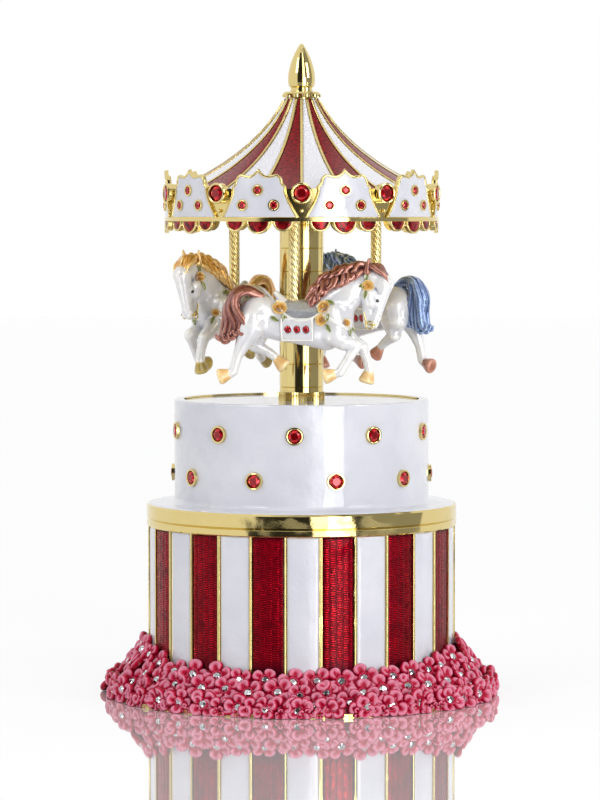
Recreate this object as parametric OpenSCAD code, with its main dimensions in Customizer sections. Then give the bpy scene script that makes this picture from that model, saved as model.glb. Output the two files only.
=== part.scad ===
// Wind-up carousel music box: an enamelled two-tier base with a turntable, three horses and a canopy,
// driven by a pinned-cylinder movement in the lower tier. Millimetres, +Z up, floor at z = 0.
// Angles called "theta" run from the front (-Y) towards +X.

/* [Lower drum] */
// Outer radius of the drum's gold wall, under the enamel
drum_r = 42.05; // [41.5:0.05:43]
// Thickness of the drum's wall
drum_wall = 2.2; // [1.6:0.1:2.6]
// Height of the seam between the drum and the upper tier
seam_z = 49.1; // [46:0.1:56]
// Height of the plain gold band at the top of the drum
drum_band_h = 2.1; // [1:0.1:4]
// How far the gold band and the tier's flange stand out of the drum's wall
band_proud = 0.95; // [0.75:0.05:1.35]
// Pairs of red and white stripes round the drum
stripe_pairs = 14; // [8:1:18]
// Width of one raised gold line between two stripes
line_w = 0.75; // [0.5:0.05:1.2]
// Thickness of an enamel filling
enamel_t = 0.45; // [0.3:0.05:0.5]
// How far the raised gold lines stand over the enamel
line_proud = 0.12; // [0.05:0.01:0.2]
// Angle of one red-to-white edge from the front
stripe_phase = 7; // [0:0.5:25]

/* [Flower skirt] */
// How far the foot that the flowers stand on reaches out of the drum's wall
skirt_w = 11.15; // [9:0.05:13]
// Thickness of the foot's gold edge
foot_t = 1; // [0.6:0.1:2]
// Height of the skirt where it meets the drum
skirt_h = 15.6; // [13:0.1:18]
// Flowers in one row of the skirt
flower_count = 40; // [30:1:44]
// Radius of one flower
flower_r = 3.9; // [2.5:0.1:4.2]
// How far a petal swells out of the skirt
petal_h = 1.3; // [0.5:0.1:1.6]
// Radius of a clear crystal at a flower's heart
heart_r = 0.95; // [0.6:0.05:1.1]

/* [Upper tier] */
// Outer radius of the upper tier's enamelled wall
tier_r = 35.3; // [34.6:0.1:36.5]
// Height of the upper tier's rim
tier_top = 82; // [79:0.1:90]
// Thickness of the tier's gold flange
flange_h = 4; // [3:0.1:5]
// Width of the ledge in the drum that the tier's flange is screwed to
ledge_w = 7; // [5:0.1:9]
// Width of the rim between the turntable's recess and the tier's wall
rim_w = 2.7; // [2.5:0.1:5]
// Thickness of the tier's cast wall
tier_wall = 2; // [1.6:0.1:2.4]
// Crystals in each of the tier's two rows
tier_stones = 10; // [6:1:14]
// Height of the lower row of crystals above the seam
row_low = 12.3; // [10:0.1:14]
// Height of the upper row of crystals above the seam
row_high = 24.5; // [20:0.1:25.5]
// Radius of a tier crystal
tier_stone_r = 1.95; // [1.2:0.05:2.4]
// Angle of the first crystal in the upper row
tier_phase = -3; // [-18:1:18]

/* [Turntable and column] */
// Running gap round the edge of the turntable
turn_gap = 0.45; // [0.3:0.05:0.9]
// Thickness of the turntable
turn_t = 2; // [1.5:0.1:2.6]
// Outer radius of the centre column
column_r = 6.1; // [5.4:0.1:7]
// Wall of the centre column
column_wall = 1.4; // [1:0.1:2.5]
// Length of the centre column
column_h = 49.7; // [45:0.1:56]
// Spacing of the grooves turned in the column
groove_step = 6.4; // [5:0.1:9]
// Height of the knurled collar at the column's foot
collar_h = 2.4; // [1.5:0.1:3.5]

/* [Canopy] */
// Outer radius of the fascia's gold wall
fascia_r = 37.5; // [37:0.1:38.5]
// Thickness of the fascia's wall
fascia_t = 0.9; // [0.7:0.05:1]
// Number of crown-shaped panels
panels = 10; // [10:1:10]
// Height of a panel's peak over the ceiling plate
peak_h = 14; // [13:0.1:14.5]
// Height of the red-and-white roof
roof_h = 25.6; // [20:0.1:32]
// Radius of the roof at its top
roof_top_r = 4.45; // [4:0.05:5]
// Thickness of the cast roof
roof_t = 0.9; // [0.7:0.05:1.4]
// Width of one gold rib on the roof
rib_w = 0.75; // [0.5:0.05:1.1]
// Radius of a large crystal on the fascia
large_stone_r = 2.3; // [1.6:0.05:2.4]
// Radius of a small crystal on a panel
small_stone_r = 1.1; // [0.8:0.05:1.2]
// Thickness of a bezel round a crystal
bezel_t = 0.4; // [0.3:0.05:0.5]
// Height of the finial's bud
bud_h = 13; // [10:0.1:16]
// Greatest radius of the finial's bud
bud_r = 3.6; // [3:0.1:4.4]

/* [Poles and horses] */
// Radius of the ring that the three poles stand on
pole_ring_r = 23; // [22:0.1:24]
// Outer radius of a twisted pole
pole_r = 1.45; // [1.2:0.05:1.6]
// Angle of the front pole
pole_phase = -5; // [-10:1:10]
// Height of the horses' seats over the turntable
seat_h = 26.6; // [25:0.1:30]
// How much higher the two side horses stand
side_rise = 2; // [0:0.1:3]
// Angle that the right horse is turned away from its path
right_yaw = 15; // [-20:1:20]
// Radius of a crystal on a saddle cloth
saddle_stone_r = 0.95; // [0.7:0.05:1]

/* [Movement] */
// Height of the recessed base plate over the floor
plate_z = 12; // [11.5:0.1:14]
// Thickness of the base plate
plate_t = 1.6; // [1.2:0.1:2]
// Thickness of the movement's bedplate
bed_t = 2; // [1.6:0.1:2.6]
// Outer radius of the spring barrel
barrel_r = 12.1; // [12:0.05:12.3]
// Height of the spring barrel below its teeth
barrel_h = 8; // [7:0.1:9]
// Teeth of the barrel's crown wheel
crown_teeth = 36; // [36:1:36]
// Teeth of the cylinder's pinion
pinion_teeth = 12; // [12:1:12]
// Radius of the pinned cylinder
cylinder_r = 6.4; // [6:0.05:6.5]
// Length of the pinned cylinder
cylinder_len = 12.6; // [12:0.1:12.8]
// Height of a pin over the cylinder
pin_h = 0.5; // [0.3:0.05:0.6]
// Number of comb teeth
notes = 18; // [12:1:20]
// Teeth of the cylinder's spur wheel
wheel_teeth = 40; // [40:1:40]
// Teeth of the governor's pinion
gov_pinion_teeth = 10; // [10:1:10]
// Teeth of the governor's worm wheel
worm_wheel_teeth = 24; // [24:1:24]
// Module of the fine wheels
fine_module = 0.3; // [0.3:0.01:0.3]
// Radius of the winding arbor
arbor_r = 1.6; // [1.3:0.05:1.8]
// Radius of the drive shaft in its bush
shaft_r = 2.5; // [2:0.05:3]
// Running clearance of a shaft in its bearing
running = 0.05; // [0.03:0.01:0.08]
// Half the span of the winding key's wings
key_span = 11; // [8:0.5:13]
// Reach of the winding arbor below the base plate
arbor_reach = 6.5; // [5.5:0.1:7]

/* [Hidden] */

ROUND = 96;        // facets that a large round surface is drawn with
SMALL = 32;        // facets that a small round surface is drawn with
TOUCH = 0.02;      // gap between a setting and the enamel poured round it
CLEAR = 0.3;       // gap between pieces that don't touch
FIT = 0.06;        // gap round a spigot or a stone in its socket
GOLD = "gold";
RED = "firebrick";
WHITE = "whitesmoke";
STEEL = "silver";

drum_in_r = drum_r - drum_wall;
band_r = drum_r + band_proud;
foot_r = drum_r + skirt_w;
enamel_r = drum_r + enamel_t;
line_r = enamel_r + line_proud;
stripe_top = seam_z - drum_band_h;
stripe_low = foot_t + 4;
stripe_angle = 180 / stripe_pairs;

skirt_in_r = line_r + CLEAR;
skirt_top_r = skirt_in_r + 0.5;
skirt_low_r = foot_r - petal_h + 0.9;

lip_z = tier_top - 0.35;
deck_t = 2;
recess_r = tier_r - rim_w;
turn_r = recess_r - turn_gap;
turn_enamel_t = 0.3;
turn_top = lip_z - 0.15;
turn_z = turn_top - turn_enamel_t - turn_t;
washer_t = 0.5;
THRUST = 0.04;     // end float of the turntable on its washer
deck_top = turn_z - 2 * washer_t - THRUST;
tier_in_r = tier_r - enamel_t - tier_wall;
ledge_in_r = min(tier_in_r, drum_in_r - ledge_w);
ledge_t = 2.4;
flange_top = seam_z + flange_h;

bush_r = shaft_r + 2;
rod_r = 1.5;
column_top = turn_top + column_h;
ceiling_t = 1.2;
ceiling_z = column_top;
ceiling_top = ceiling_z + ceiling_t;
fascia_in_r = fascia_r - fascia_t;
panel_base = ceiling_z + 0.9;
rail_h = 1;
rail_r = fascia_r + 0.45;
roof_edge_z = ceiling_z + 8;
roof_edge_r = fascia_in_r - 0.5;
roof_top_z = roof_edge_z + roof_h;
panel_angle = 360 / panels;
stone_z = roof_edge_z - 0.5;
rib_proud = 0.35;
roof_enamel_t = 0.25;

bed_z = plate_z + plate_t;
bed_top = bed_z + bed_t;
barrel_z = bed_top + 0.4;
barrel_top = barrel_z + barrel_h;
crown_r = 11;
crown_tooth_h = 1.6;
crown_pitch_z = barrel_top + 0.9;
pinion_r = crown_r * pinion_teeth / crown_teeth;
cyl_z = crown_pitch_z + pinion_r;
bearing_t = 1.2;
inner_bearing_x = barrel_r + 0.9;
cyl_x = inner_bearing_x + bearing_t + 0.6;
wheel_x = cyl_x + cylinder_len + 0.4;
wheel_t = 1.2;
outer_bearing_x = wheel_x + wheel_t + 0.5;
cyl_arbor_r = 1;
gov_dist = fine_module * (wheel_teeth + gov_pinion_teeth) / 2;
gov_drop = 2.1;
gov_y = sqrt(gov_dist * gov_dist - gov_drop * gov_drop);
gov_z = cyl_z - gov_drop;
worm_wheel_x = outer_bearing_x + bearing_t + 0.6;
worm_wheel_t = 0.8;
worm_wheel_r = fine_module * worm_wheel_teeth / 2;
worm_r = 1.25;
worm_x = worm_wheel_x + worm_wheel_t / 2;
worm_y = gov_y + worm_wheel_r + worm_r;
worm_turn = -90;
worm_pitch = PI * fine_module;
gov_arbor_r = 0.6;
fan_shaft_r = 0.5;
gov_plate_x = worm_wheel_x + worm_wheel_t + 0.5;
fan_z = gov_z + worm_wheel_r + 0.9;
fan_h = 4.4;
gov_arm_z = fan_z + fan_h + 0.4;
comb_t = 0.8;
comb_tip_gap = 0.1;
comb_tip_y = -(cylinder_r + pin_h + comb_tip_gap);
comb_root_y = comb_tip_y - 11;
comb_back_y = comb_root_y - 5;
comb_pitch = (cylinder_len - 1) / notes;
screw_r = 0.95;
lug_r = 2.8;
lug_ring_r = drum_in_r - 2.6;
lug_angles = [75, 180, 285];
bed_screws = [[-9, -11], [22, -20], [24, 13.5]];

// ---------------------------------------------------------------- helpers

// Turns children to the angle theta from the front, their +X pointing outwards.
module at_theta(theta) {
    rotate([0, 0, theta - 90]) children();
}

module ring(r_in, r_out, z, h) {
    rotate_extrude($fn = ROUND) translate([r_in, z]) square([r_out - r_in, h]);
}

// A piece of a ring between two angles from the front.
module sector(r_in, r_out, z, h, from, to) {
    at_theta(from) rotate_extrude(angle = to - from, $fn = ROUND)
        translate([r_in, z]) square([r_out - r_in, h]);
}

// A cylinder that points outwards from the axis, from radius r0 to r1, at height z.
module radial(r0, r1, z, r) {
    translate([r0, 0, z]) rotate([0, 90, 0]) cylinder(r = r, h = r1 - r0, $fn = SMALL);
}

// A cut stone with a flat back at x = 0, its table facing +X.
module stone(r, back = 0.35) {
    rotate([0, 90, 0]) rotate_extrude($fn = SMALL)
        polygon([[0, 0], [r, 0], [r, back], [r * 0.62, back + r * 0.34], [0, back + r * 0.34]]);
}

// A setting: a cup with a floor, its mouth facing +X.
module setting(r0, r1, z, stone_r, floor_t) {
    difference() {
        radial(r0, r1, z, stone_r + TOUCH + bezel_t);
        radial(r0 + floor_t, r1 + 1, z, stone_r + TOUCH);
    }
}

function bezier(p, t) = pow(1 - t, 3) * p[0] + 3 * t * pow(1 - t, 2) * p[1]
    + 3 * t * t * (1 - t) * p[2] + pow(t, 3) * p[3];

function bezier_run(p, n) = [for (i = [0:n]) bezier(p, i / n)];

function quadratic_run(a, b, c, n) =
    [for (i = [1:n]) let (t = i / n) (1 - t) * (1 - t) * a + 2 * t * (1 - t) * b + t * t * c];

function reversed(v) = [for (i = [len(v) - 1:-1:0]) v[i]];

// A straight-sided gear's outline, with a tooth centred on +X.
function gear_points(teeth, tip, root, tip_half, root_half) = [for (i = [0:teeth - 1])
    let (a = 360 * i / teeth)
    each [root * [cos(a - root_half), sin(a - root_half)], tip * [cos(a - tip_half), sin(a - tip_half)],
        tip * [cos(a + tip_half), sin(a + tip_half)], root * [cos(a + root_half), sin(a + root_half)]]];

module gear(teeth, pitch_r, add, ded, tooth_w, h, bore) {
    linear_extrude(h) difference() {
        polygon(gear_points(teeth, pitch_r + add, pitch_r - ded,
            (tooth_w / 2 - add * 0.34) / pitch_r * 57.3, (tooth_w / 2 + ded * 0.3) / pitch_r * 57.3));
        circle(r = bore, $fn = SMALL);
    }
}

// A pan-head screw pointing up, its head under z = 0.
module screw(shank_r, length, head_r = 1.9, head_h = 1) {
    difference() {
        union() {
            cylinder(r = shank_r, h = length, $fn = SMALL);
            translate([0, 0, -head_h]) cylinder(r = head_r, h = head_h, $fn = SMALL);
        }
        translate([-head_r, -0.2, -head_h - 0.01]) cube([2 * head_r, 0.4, 0.45]);
    }
}

// ---------------------------------------------------------------- lower drum

module drum_shell() {
    color(GOLD) difference() {
        union() {
            rotate_extrude($fn = ROUND) polygon([[drum_in_r, foot_t], [drum_r, foot_t],
                [drum_r, stripe_top], [band_r - 0.3, stripe_top], [band_r, stripe_top + 0.3],
                [band_r, seam_z - 0.35], [band_r - 0.35, seam_z], [drum_in_r, seam_z]]);
            for (i = [0:2 * stripe_pairs - 1]) at_theta(stripe_phase + i * stripe_angle)
                translate([drum_r - 0.3, -line_w / 2, stripe_low])
                    cube([line_r - drum_r + 0.3, line_w, stripe_top - stripe_low + 0.1]);
            for (a = lug_angles) rotate([0, 0, a]) translate([lug_ring_r, 0, bed_z])
                cylinder(r = lug_r, h = 6, $fn = SMALL);
        }
        for (a = lug_angles) rotate([0, 0, a]) translate([lug_ring_r, 0, bed_z - 1])
            cylinder(r = screw_r + running, h = 6, $fn = SMALL);
    }
}

// Ring soldered into the top of the drum, which the tier's flange is screwed to.
module drum_ledge() {
    color(GOLD) difference() {
        ring(ledge_in_r, drum_in_r, seam_z - ledge_t, ledge_t);
        for (a = lug_angles) rotate([0, 0, a + 60]) translate([tier_screw_r, 0, seam_z - ledge_t - 1])
            cylinder(r = screw_r + running, h = ledge_t + 2, $fn = SMALL);
    }
}

// Ring under the drum and the flowers, which the box stands on.
module drum_foot() {
    color(GOLD) ring(drum_in_r, foot_r, 0, foot_t);
}

// Half the angle that a gold line covers at the enamel's foot, with a hair of clearance.
line_half = (line_w / 2 + TOUCH) / drum_r * 57.3;

module drum_stripes(first) {
    for (i = [0:stripe_pairs - 1]) {
        start = stripe_phase + (2 * i + first) * stripe_angle;
        sector(drum_r, enamel_r, stripe_low, stripe_top - stripe_low, start + line_half,
            start + stripe_angle - line_half);
    }
}

module drum_red_enamel() {
    color(RED) drum_stripes(0);
}

module drum_white_enamel() {
    color(WHITE) drum_stripes(1);
}

// ---------------------------------------------------------------- flower skirt

skirt_cols = 5 * flower_count;
skirt_rows = 9;
flower_rows = [0.2, 0.62];
flower_turns = [0, 4.5];
petals = 5;
skirt_slant = norm([skirt_low_r - skirt_top_r, skirt_h - foot_t]);

// Height of the petals over the skirt at angle a and share s of the slant, from one row of flowers.
function flower_swell(a, s, row) =
    let (step = 360 / flower_count,
        near = round((a - flower_turns[row]) / step) * step + flower_turns[row],
        x = (a - near) * PI / 180 * (skirt_top_r + s * (skirt_low_r - skirt_top_r)),
        y = (s - flower_rows[row]) * skirt_slant,
        d = norm([x, y]),
        reach = flower_r * (0.82 + 0.18 * cos(petals * (atan2(y, x) + near * 7))))
    d >= reach ? 0 : petal_h * sqrt(1 - pow(d / reach, 2));

// Radius of the skirt under its flowers at share s of the way down: a flare that ends in a short wall.
function skirt_r(s) = skirt_top_r + min(1, s * 1.2) * (skirt_low_r - skirt_top_r);

function skirt_point(a, s) =
    let (swell = s > 0.98 ? 0 : max(flower_swell(a, s, 0), flower_swell(a, s, 1)),
        r = skirt_r(s) + swell * 0.72,
        z = skirt_h + s * (foot_t - skirt_h) + swell * 0.5)
    [r * sin(a), -r * cos(a), z];

module flower_skirt() {
    step = 360 / skirt_cols;
    points = [for (i = [0:skirt_cols - 1]) each concat(
        [[skirt_in_r * sin(i * step), -skirt_in_r * cos(i * step), foot_t],
            [skirt_in_r * sin(i * step), -skirt_in_r * cos(i * step), skirt_h]],
        [for (j = [0:skirt_rows]) skirt_point(i * step, j / skirt_rows)])];
    n = skirt_rows + 3;
    faces = [for (i = [0:skirt_cols - 1]) let (k = (i + 1) % skirt_cols)
        for (j = [0:n - 1]) let (m = (j + 1) % n)
            each [[i * n + j, i * n + m, k * n + m], [i * n + j, k * n + m, k * n + j]]];
    color("palevioletred") polyhedron(points, faces, convexity = 8);
}

module skirt_crystals() {
    color("white") for (row = [0, 1], i = [0:flower_count - 1]) {
        a = i * 360 / flower_count + flower_turns[row];
        r = skirt_r(flower_rows[row]) + petal_h * 0.72 + 0.12;
        z = skirt_h + flower_rows[row] * (foot_t - skirt_h) + petal_h * 0.5 + 0.12;
        at_theta(a) translate([r, 0, z]) rotate([0, -34, 0]) stone(heart_r, 0.3);
    }
}

// ---------------------------------------------------------------- base plate and movement, fixed parts

module base_plate() {
    color(STEEL) difference() {
        translate([0, 0, plate_z]) cylinder(r = drum_in_r - CLEAR, h = plate_t, $fn = ROUND);
        translate([0, 0, plate_z - 1]) cylinder(r = arbor_r + CLEAR, h = plate_t + 2, $fn = SMALL);
        for (a = lug_angles) rotate([0, 0, a]) translate([lug_ring_r, 0, plate_z - 1])
            cylinder(r = screw_r + running, h = plate_t + 2, $fn = SMALL);
        for (p = bed_screws) translate([p[0], p[1], plate_z - 1])
            cylinder(r = screw_r + running, h = plate_t + 2, $fn = SMALL);
    }
}

module base_plate_screws() {
    color(STEEL) for (a = lug_angles) rotate([0, 0, a]) translate([lug_ring_r, 0, plate_z])
        screw(screw_r, plate_t + 4.2);
}

module movement_screws() {
    color(STEEL) for (p = bed_screws) translate([p[0], p[1], plate_z]) screw(screw_r, plate_t + bed_t);
    color(STEEL) for (x = comb_screw_x) translate([x, comb_back_y + 2.5, cyl_z + comb_t / 2])
        rotate([180, 0, 0]) screw(0.7, 5, 1.4, 0.8);
}

module movement_bedplate() {
    post_w = cylinder_len + 1;
    color("goldenrod") difference() {
        union() {
            translate([0, 0, bed_z]) linear_extrude(bed_t)
                polygon([[-13, -14], [8, comb_back_y - 1.5], [30, comb_back_y - 1.5], [36.2, -12],
                    [36.2, 14.5], [-13, 15]]);
            translate([cyl_x - 0.5, comb_back_y, bed_top])
                cube([post_w, 5, cyl_z - comb_t / 2 - bed_top]);
        }
        translate([0, 0, bed_z - 1]) cylinder(r = arbor_r + running, h = bed_t + 2, $fn = SMALL);
        for (p = bed_screws) translate([p[0], p[1], bed_z - 1])
            cylinder(r = screw_r + running, h = bed_t + 2, $fn = SMALL);
        for (x = comb_screw_x) translate([x, comb_back_y + 2.5, cyl_z - 6])
            cylinder(r = 0.7 + running, h = 8, $fn = SMALL);
    }
}

comb_screw_x = [cyl_x + 2.6, cyl_x + cylinder_len - 3];

module music_comb() {
    slot = 0.17;
    color(STEEL) difference() {
        translate([cyl_x + 0.5, comb_back_y, cyl_z - comb_t / 2])
            cube([notes * comb_pitch, comb_tip_y - comb_back_y, comb_t]);
        for (i = [1:notes - 1]) translate([cyl_x + 0.5 + i * comb_pitch - slot / 2, comb_root_y, cyl_z - 1])
            cube([slot, comb_tip_y - comb_root_y + 1, 2]);
        for (x = comb_screw_x) translate([x, comb_back_y + 2.5, cyl_z - 1])
            cylinder(r = 0.7 + running, h = 2, $fn = SMALL);
    }
}

module bearing_plate(x, y0, y1) {
    color("goldenrod") difference() {
        translate([x, y0, bed_top]) cube([bearing_t, y1 - y0, cyl_z + 2.6 - bed_top]);
        translate([x - 1, 0, cyl_z]) rotate([0, 90, 0])
            cylinder(r = cyl_arbor_r + running, h = bearing_t + 2, $fn = SMALL);
        if (y1 > gov_y) translate([x - 1, gov_y, gov_z]) rotate([0, 90, 0])
            cylinder(r = gov_arbor_r + running, h = bearing_t + 2, $fn = SMALL);
    }
}

module inner_bearing() {
    bearing_plate(inner_bearing_x, -3.5, 3.5);
}

module outer_bearing() {
    bearing_plate(outer_bearing_x, -3.5, gov_y + 2);
}

module governor_frame() {
    frame_x = worm_x + 2.9;
    color("goldenrod") difference() {
        union() {
            translate([gov_plate_x, gov_y - 1.6, bed_top]) cube([1, 3.2, gov_z + 1.6 - bed_top]);
            translate([frame_x, worm_y - 2, bed_top]) cube([1.4, 3.6, gov_arm_z + 1 - bed_top]);
            translate([worm_x - 1.2, worm_y - 1.2, gov_arm_z]) cube([frame_x - worm_x + 2, 2.4, 1]);
            translate([worm_x - 1.2, worm_y - 1.2, bed_top]) cube([frame_x - worm_x + 2, 2.4, 1.6]);
            translate([gov_plate_x, gov_y - 1.6, bed_top]) cube([2.4, worm_y - gov_y + 2.8, 1]);
        }
        translate([gov_plate_x - 1, gov_y, gov_z]) rotate([0, 90, 0])
            cylinder(r = gov_arbor_r + running, h = 3, $fn = SMALL);
        translate([worm_x, worm_y, bed_top + 0.5])
            cylinder(r = fan_shaft_r + running, h = gov_arm_z + 2 - bed_top, $fn = SMALL);
    }
}

// ---------------------------------------------------------------- upper tier

tier_screw_r = (drum_in_r + ledge_in_r) / 2;

// Gold ring under the tier, with a step that the enamel is poured into.
module tier_flange() {
    step_r = band_r - 0.7;
    color(GOLD) difference() {
        rotate_extrude($fn = ROUND) polygon([[ledge_in_r, seam_z], [band_r - 0.35, seam_z],
            [band_r, seam_z + 0.35], [band_r, flange_top - 0.5], [band_r - 0.3, flange_top],
            [step_r, flange_top], [step_r, flange_top - enamel_t], [ledge_in_r, flange_top - enamel_t]]);
        for (a = lug_angles) rotate([0, 0, a + 60]) translate([tier_screw_r, 0, seam_z - 1])
            cylinder(r = screw_r + running, h = 3.6, $fn = SMALL);
    }
}

module tier_shell() {
    core_r = tier_r - enamel_t;
    mouth_r = recess_r + 0.45;
    color(GOLD) {
        rotate_extrude($fn = ROUND) polygon([[tier_in_r, flange_top - enamel_t],
            [core_r, flange_top - enamel_t], [core_r, tier_top - enamel_t], [mouth_r, tier_top - enamel_t],
            [mouth_r, tier_top], [recess_r, tier_top], [recess_r, deck_top], [tier_in_r, deck_top]]);
        for (i = [0:tier_stones - 1]) {
            at_theta(tier_phase + i * 360 / tier_stones)
                setting(core_r - 0.5, tier_r + 0.75, seam_z + row_high, tier_stone_r, 0.7);
            at_theta(tier_phase + (i + 0.5) * 360 / tier_stones)
                setting(core_r - 0.5, tier_r + 0.75, seam_z + row_low, tier_stone_r, 0.7);
        }
    }
}

// Disc soldered into the tier, which carries the turntable's bush.
module tier_deck() {
    color(GOLD) ring(bush_r, tier_in_r, deck_top - deck_t, deck_t);
}

module tier_enamel() {
    core_r = tier_r - enamel_t;
    fillet = 1.4;
    hole = tier_stone_r + 2 * TOUCH + bezel_t;
    color(WHITE) difference() {
        rotate_extrude($fn = ROUND) polygon(concat(
            [[core_r, flange_top - enamel_t], [band_r - 0.7, flange_top - enamel_t],
                [band_r - 0.7, flange_top], [band_r - 1.4, flange_top + 0.25]],
            [for (i = [0:6]) [tier_r + fillet * (1 - sin(i * 15)),
                flange_top + 0.5 + fillet * (1 - cos(i * 15))]],
            [[tier_r, tier_top - 0.5], [tier_r - 0.15, tier_top - 0.15], [tier_r - 0.5, tier_top],
                [recess_r + 0.45, tier_top], [recess_r + 0.45, tier_top - enamel_t],
                [core_r, tier_top - enamel_t]]));
        for (i = [0:tier_stones - 1]) {
            at_theta(tier_phase + i * 360 / tier_stones)
                radial(core_r - 1, tier_r + 1, seam_z + row_high, hole);
            at_theta(tier_phase + (i + 0.5) * 360 / tier_stones)
                radial(core_r - 1, tier_r + 1, seam_z + row_low, hole);
        }
    }
}

module tier_crystals() {
    floor_r = tier_r - enamel_t + 0.2;
    color("red") for (i = [0:tier_stones - 1]) {
        at_theta(tier_phase + i * 360 / tier_stones)
            translate([floor_r, 0, seam_z + row_high]) stone(tier_stone_r, 0.9);
        at_theta(tier_phase + (i + 0.5) * 360 / tier_stones)
            translate([floor_r, 0, seam_z + row_low]) stone(tier_stone_r, 0.9);
    }
}

module tier_screws() {
    color(STEEL) for (a = lug_angles) rotate([0, 0, a + 60]) translate([tier_screw_r, 0, seam_z - 2.4])
        screw(screw_r, 4.6);
}

module shaft_bush() {
    color("goldenrod") rotate_extrude($fn = ROUND) polygon([[shaft_r + running, deck_top - deck_t - 3],
        [bush_r + 1.5, deck_top - deck_t - 3], [bush_r + 1.5, deck_top - deck_t],
        [bush_r, deck_top - deck_t],
        [bush_r, deck_top + washer_t], [shaft_r + running, deck_top + washer_t]]);
}

module thrust_washer() {
    color("ivory") ring(shaft_r + 2 * running, bush_r + 1, deck_top + washer_t, washer_t);
}

// ---------------------------------------------------------------- movement, turning parts

module winding_arbor() {
    color(STEEL) {
        translate([0, 0, plate_z - arbor_reach])
            cylinder(r = arbor_r, h = barrel_top - 1.6 - plate_z + arbor_reach, $fn = SMALL);
        translate([0, 0, barrel_z + 1.3]) cylinder(r = arbor_r + 1.4, h = barrel_h - 3, $fn = SMALL);
    }
}

module winding_key() {
    top = plate_z - 1;
    low = plate_z - arbor_reach - 3;
    wing_z = (low + top) / 2 - 0.5;
    color(GOLD) difference() {
        union() {
            translate([0, 0, low + 2]) cylinder(r = arbor_r + 1.4, h = top - low - 2, $fn = SMALL);
            for (side = [-1, 1]) translate([side * key_span * 0.55, 0, wing_z]) rotate([90, 0, 0])
                cylinder(r = key_span * 0.36, h = 1.6, center = true, $fn = SMALL);
            translate([-key_span * 0.55, -0.8, low + 2]) cube([key_span * 1.1, 1.6, 4]);
        }
        for (side = [-1, 1]) translate([side * key_span * 0.6, 0, wing_z]) rotate([90, 0, 0])
            cylinder(r = key_span * 0.16, h = 3, center = true, $fn = SMALL);
        translate([0, 0, plate_z - arbor_reach])
            cylinder(r = arbor_r + TOUCH, h = arbor_reach + 1.5, $fn = SMALL);
    }
}

module spring_barrel() {
    tooth_w = 0.72;
    root_w = 1;
    tip_w = 0.42;
    color("goldenrod") {
        difference() {
            translate([0, 0, barrel_z]) cylinder(r = barrel_r, h = barrel_h, $fn = ROUND);
            translate([0, 0, barrel_z + 1]) cylinder(r = crown_r - 1.4, h = barrel_h, $fn = ROUND);
            translate([0, 0, barrel_z - 1]) cylinder(r = arbor_r + running, h = 3, $fn = SMALL);
        }
        for (i = [0:crown_teeth - 1]) rotate([0, 0, (i + 0.5) * 360 / crown_teeth])
            translate([crown_r - 1, 0, barrel_top - 0.2]) rotate([90, 0, 90]) linear_extrude(2)
                polygon([[-root_w / 2, 0], [root_w / 2, 0], [tooth_w / 2, 1.1],
                    [tip_w / 2, crown_tooth_h + 0.2], [-tip_w / 2, crown_tooth_h + 0.2],
                    [-tooth_w / 2, 1.1]]);
    }
}

module barrel_cover() {
    color(STEEL) difference() {
        translate([0, 0, barrel_top - 1]) cylinder(r = crown_r - 1.4 - TOUCH, h = 1, $fn = ROUND);
        translate([0, 0, barrel_top - 2]) cylinder(r = 1.5 + TOUCH, h = 3, $fn = SMALL);
    }
}

module mainspring() {
    turns = 6;
    steps = 20;
    inner = arbor_r + 1.4 + CLEAR;
    outer = crown_r - 1.4 - 0.4;
    strip = 0.25;
    n = turns * steps;
    path = [for (i = [0:n]) let (a = i * 360 / steps, r = inner + (outer - inner) * i / n) [r, a]];
    color("slategray") translate([0, 0, barrel_z + 1.3]) linear_extrude(barrel_h - 3)
        polygon(concat([for (p = path) p[0] * [cos(p[1]), sin(p[1])]],
            reversed([for (p = path) (p[0] + strip) * [cos(p[1]), sin(p[1])]])));
}

module drive_shaft() {
    color(STEEL) rotate_extrude($fn = SMALL) polygon([[0, barrel_top - 1], [1.5, barrel_top - 1],
        [1.5, barrel_top], [shaft_r + 2, barrel_top], [shaft_r + 2, barrel_top + 0.6],
        [shaft_r, barrel_top + 0.6], [shaft_r, turn_z], [rod_r, turn_z],
        [rod_r, roof_top_z - 1], [0, roof_top_z - 1]]);
}

module cylinder_core(r, h, x) {
    translate([x, 0, cyl_z]) rotate([0, 90, 0]) difference() {
        cylinder(r = r, h = h, $fn = ROUND);
        translate([0, 0, -1]) cylinder(r = cyl_arbor_r + TOUCH, h = h + 2, $fn = SMALL);
    }
}

module music_cylinder() {
    color("goldenrod") cylinder_core(cylinder_r, cylinder_len, cyl_x);
}

// Four pins for each note, spread round the cylinder by a fixed rule.
module cylinder_pins() {
    color(STEEL) for (i = [0:notes - 1], k = [0:3])
        translate([cyl_x + 0.5 + (i + 0.5) * comb_pitch, 0, cyl_z])
            rotate([90 * k + (i * 137.5) % 80, 0, 0]) translate([0, 0, cylinder_r + TOUCH / 2])
                cylinder(r = 0.14, h = pin_h - TOUCH, $fn = 16);
}

module cylinder_arbor() {
    start = crown_r - 1.3;
    color(STEEL) translate([start, 0, cyl_z]) rotate([0, 90, 0])
        cylinder(r = cyl_arbor_r, h = outer_bearing_x + bearing_t - start, $fn = SMALL);
}

module cylinder_pinion() {
    color("goldenrod") translate([crown_r - 1.1, 0, cyl_z]) rotate([0, 90, 0])
        gear(pinion_teeth, pinion_r, 0.55, 0.85, 0.66, 2.2, cyl_arbor_r + TOUCH);
}

module cylinder_wheel() {
    color("goldenrod") translate([wheel_x, 0, cyl_z]) rotate([0, 90, 0])
        gear(wheel_teeth, fine_module * wheel_teeth / 2, 0.2, 0.38, 0.36, wheel_t, cyl_arbor_r + TOUCH);
}

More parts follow.
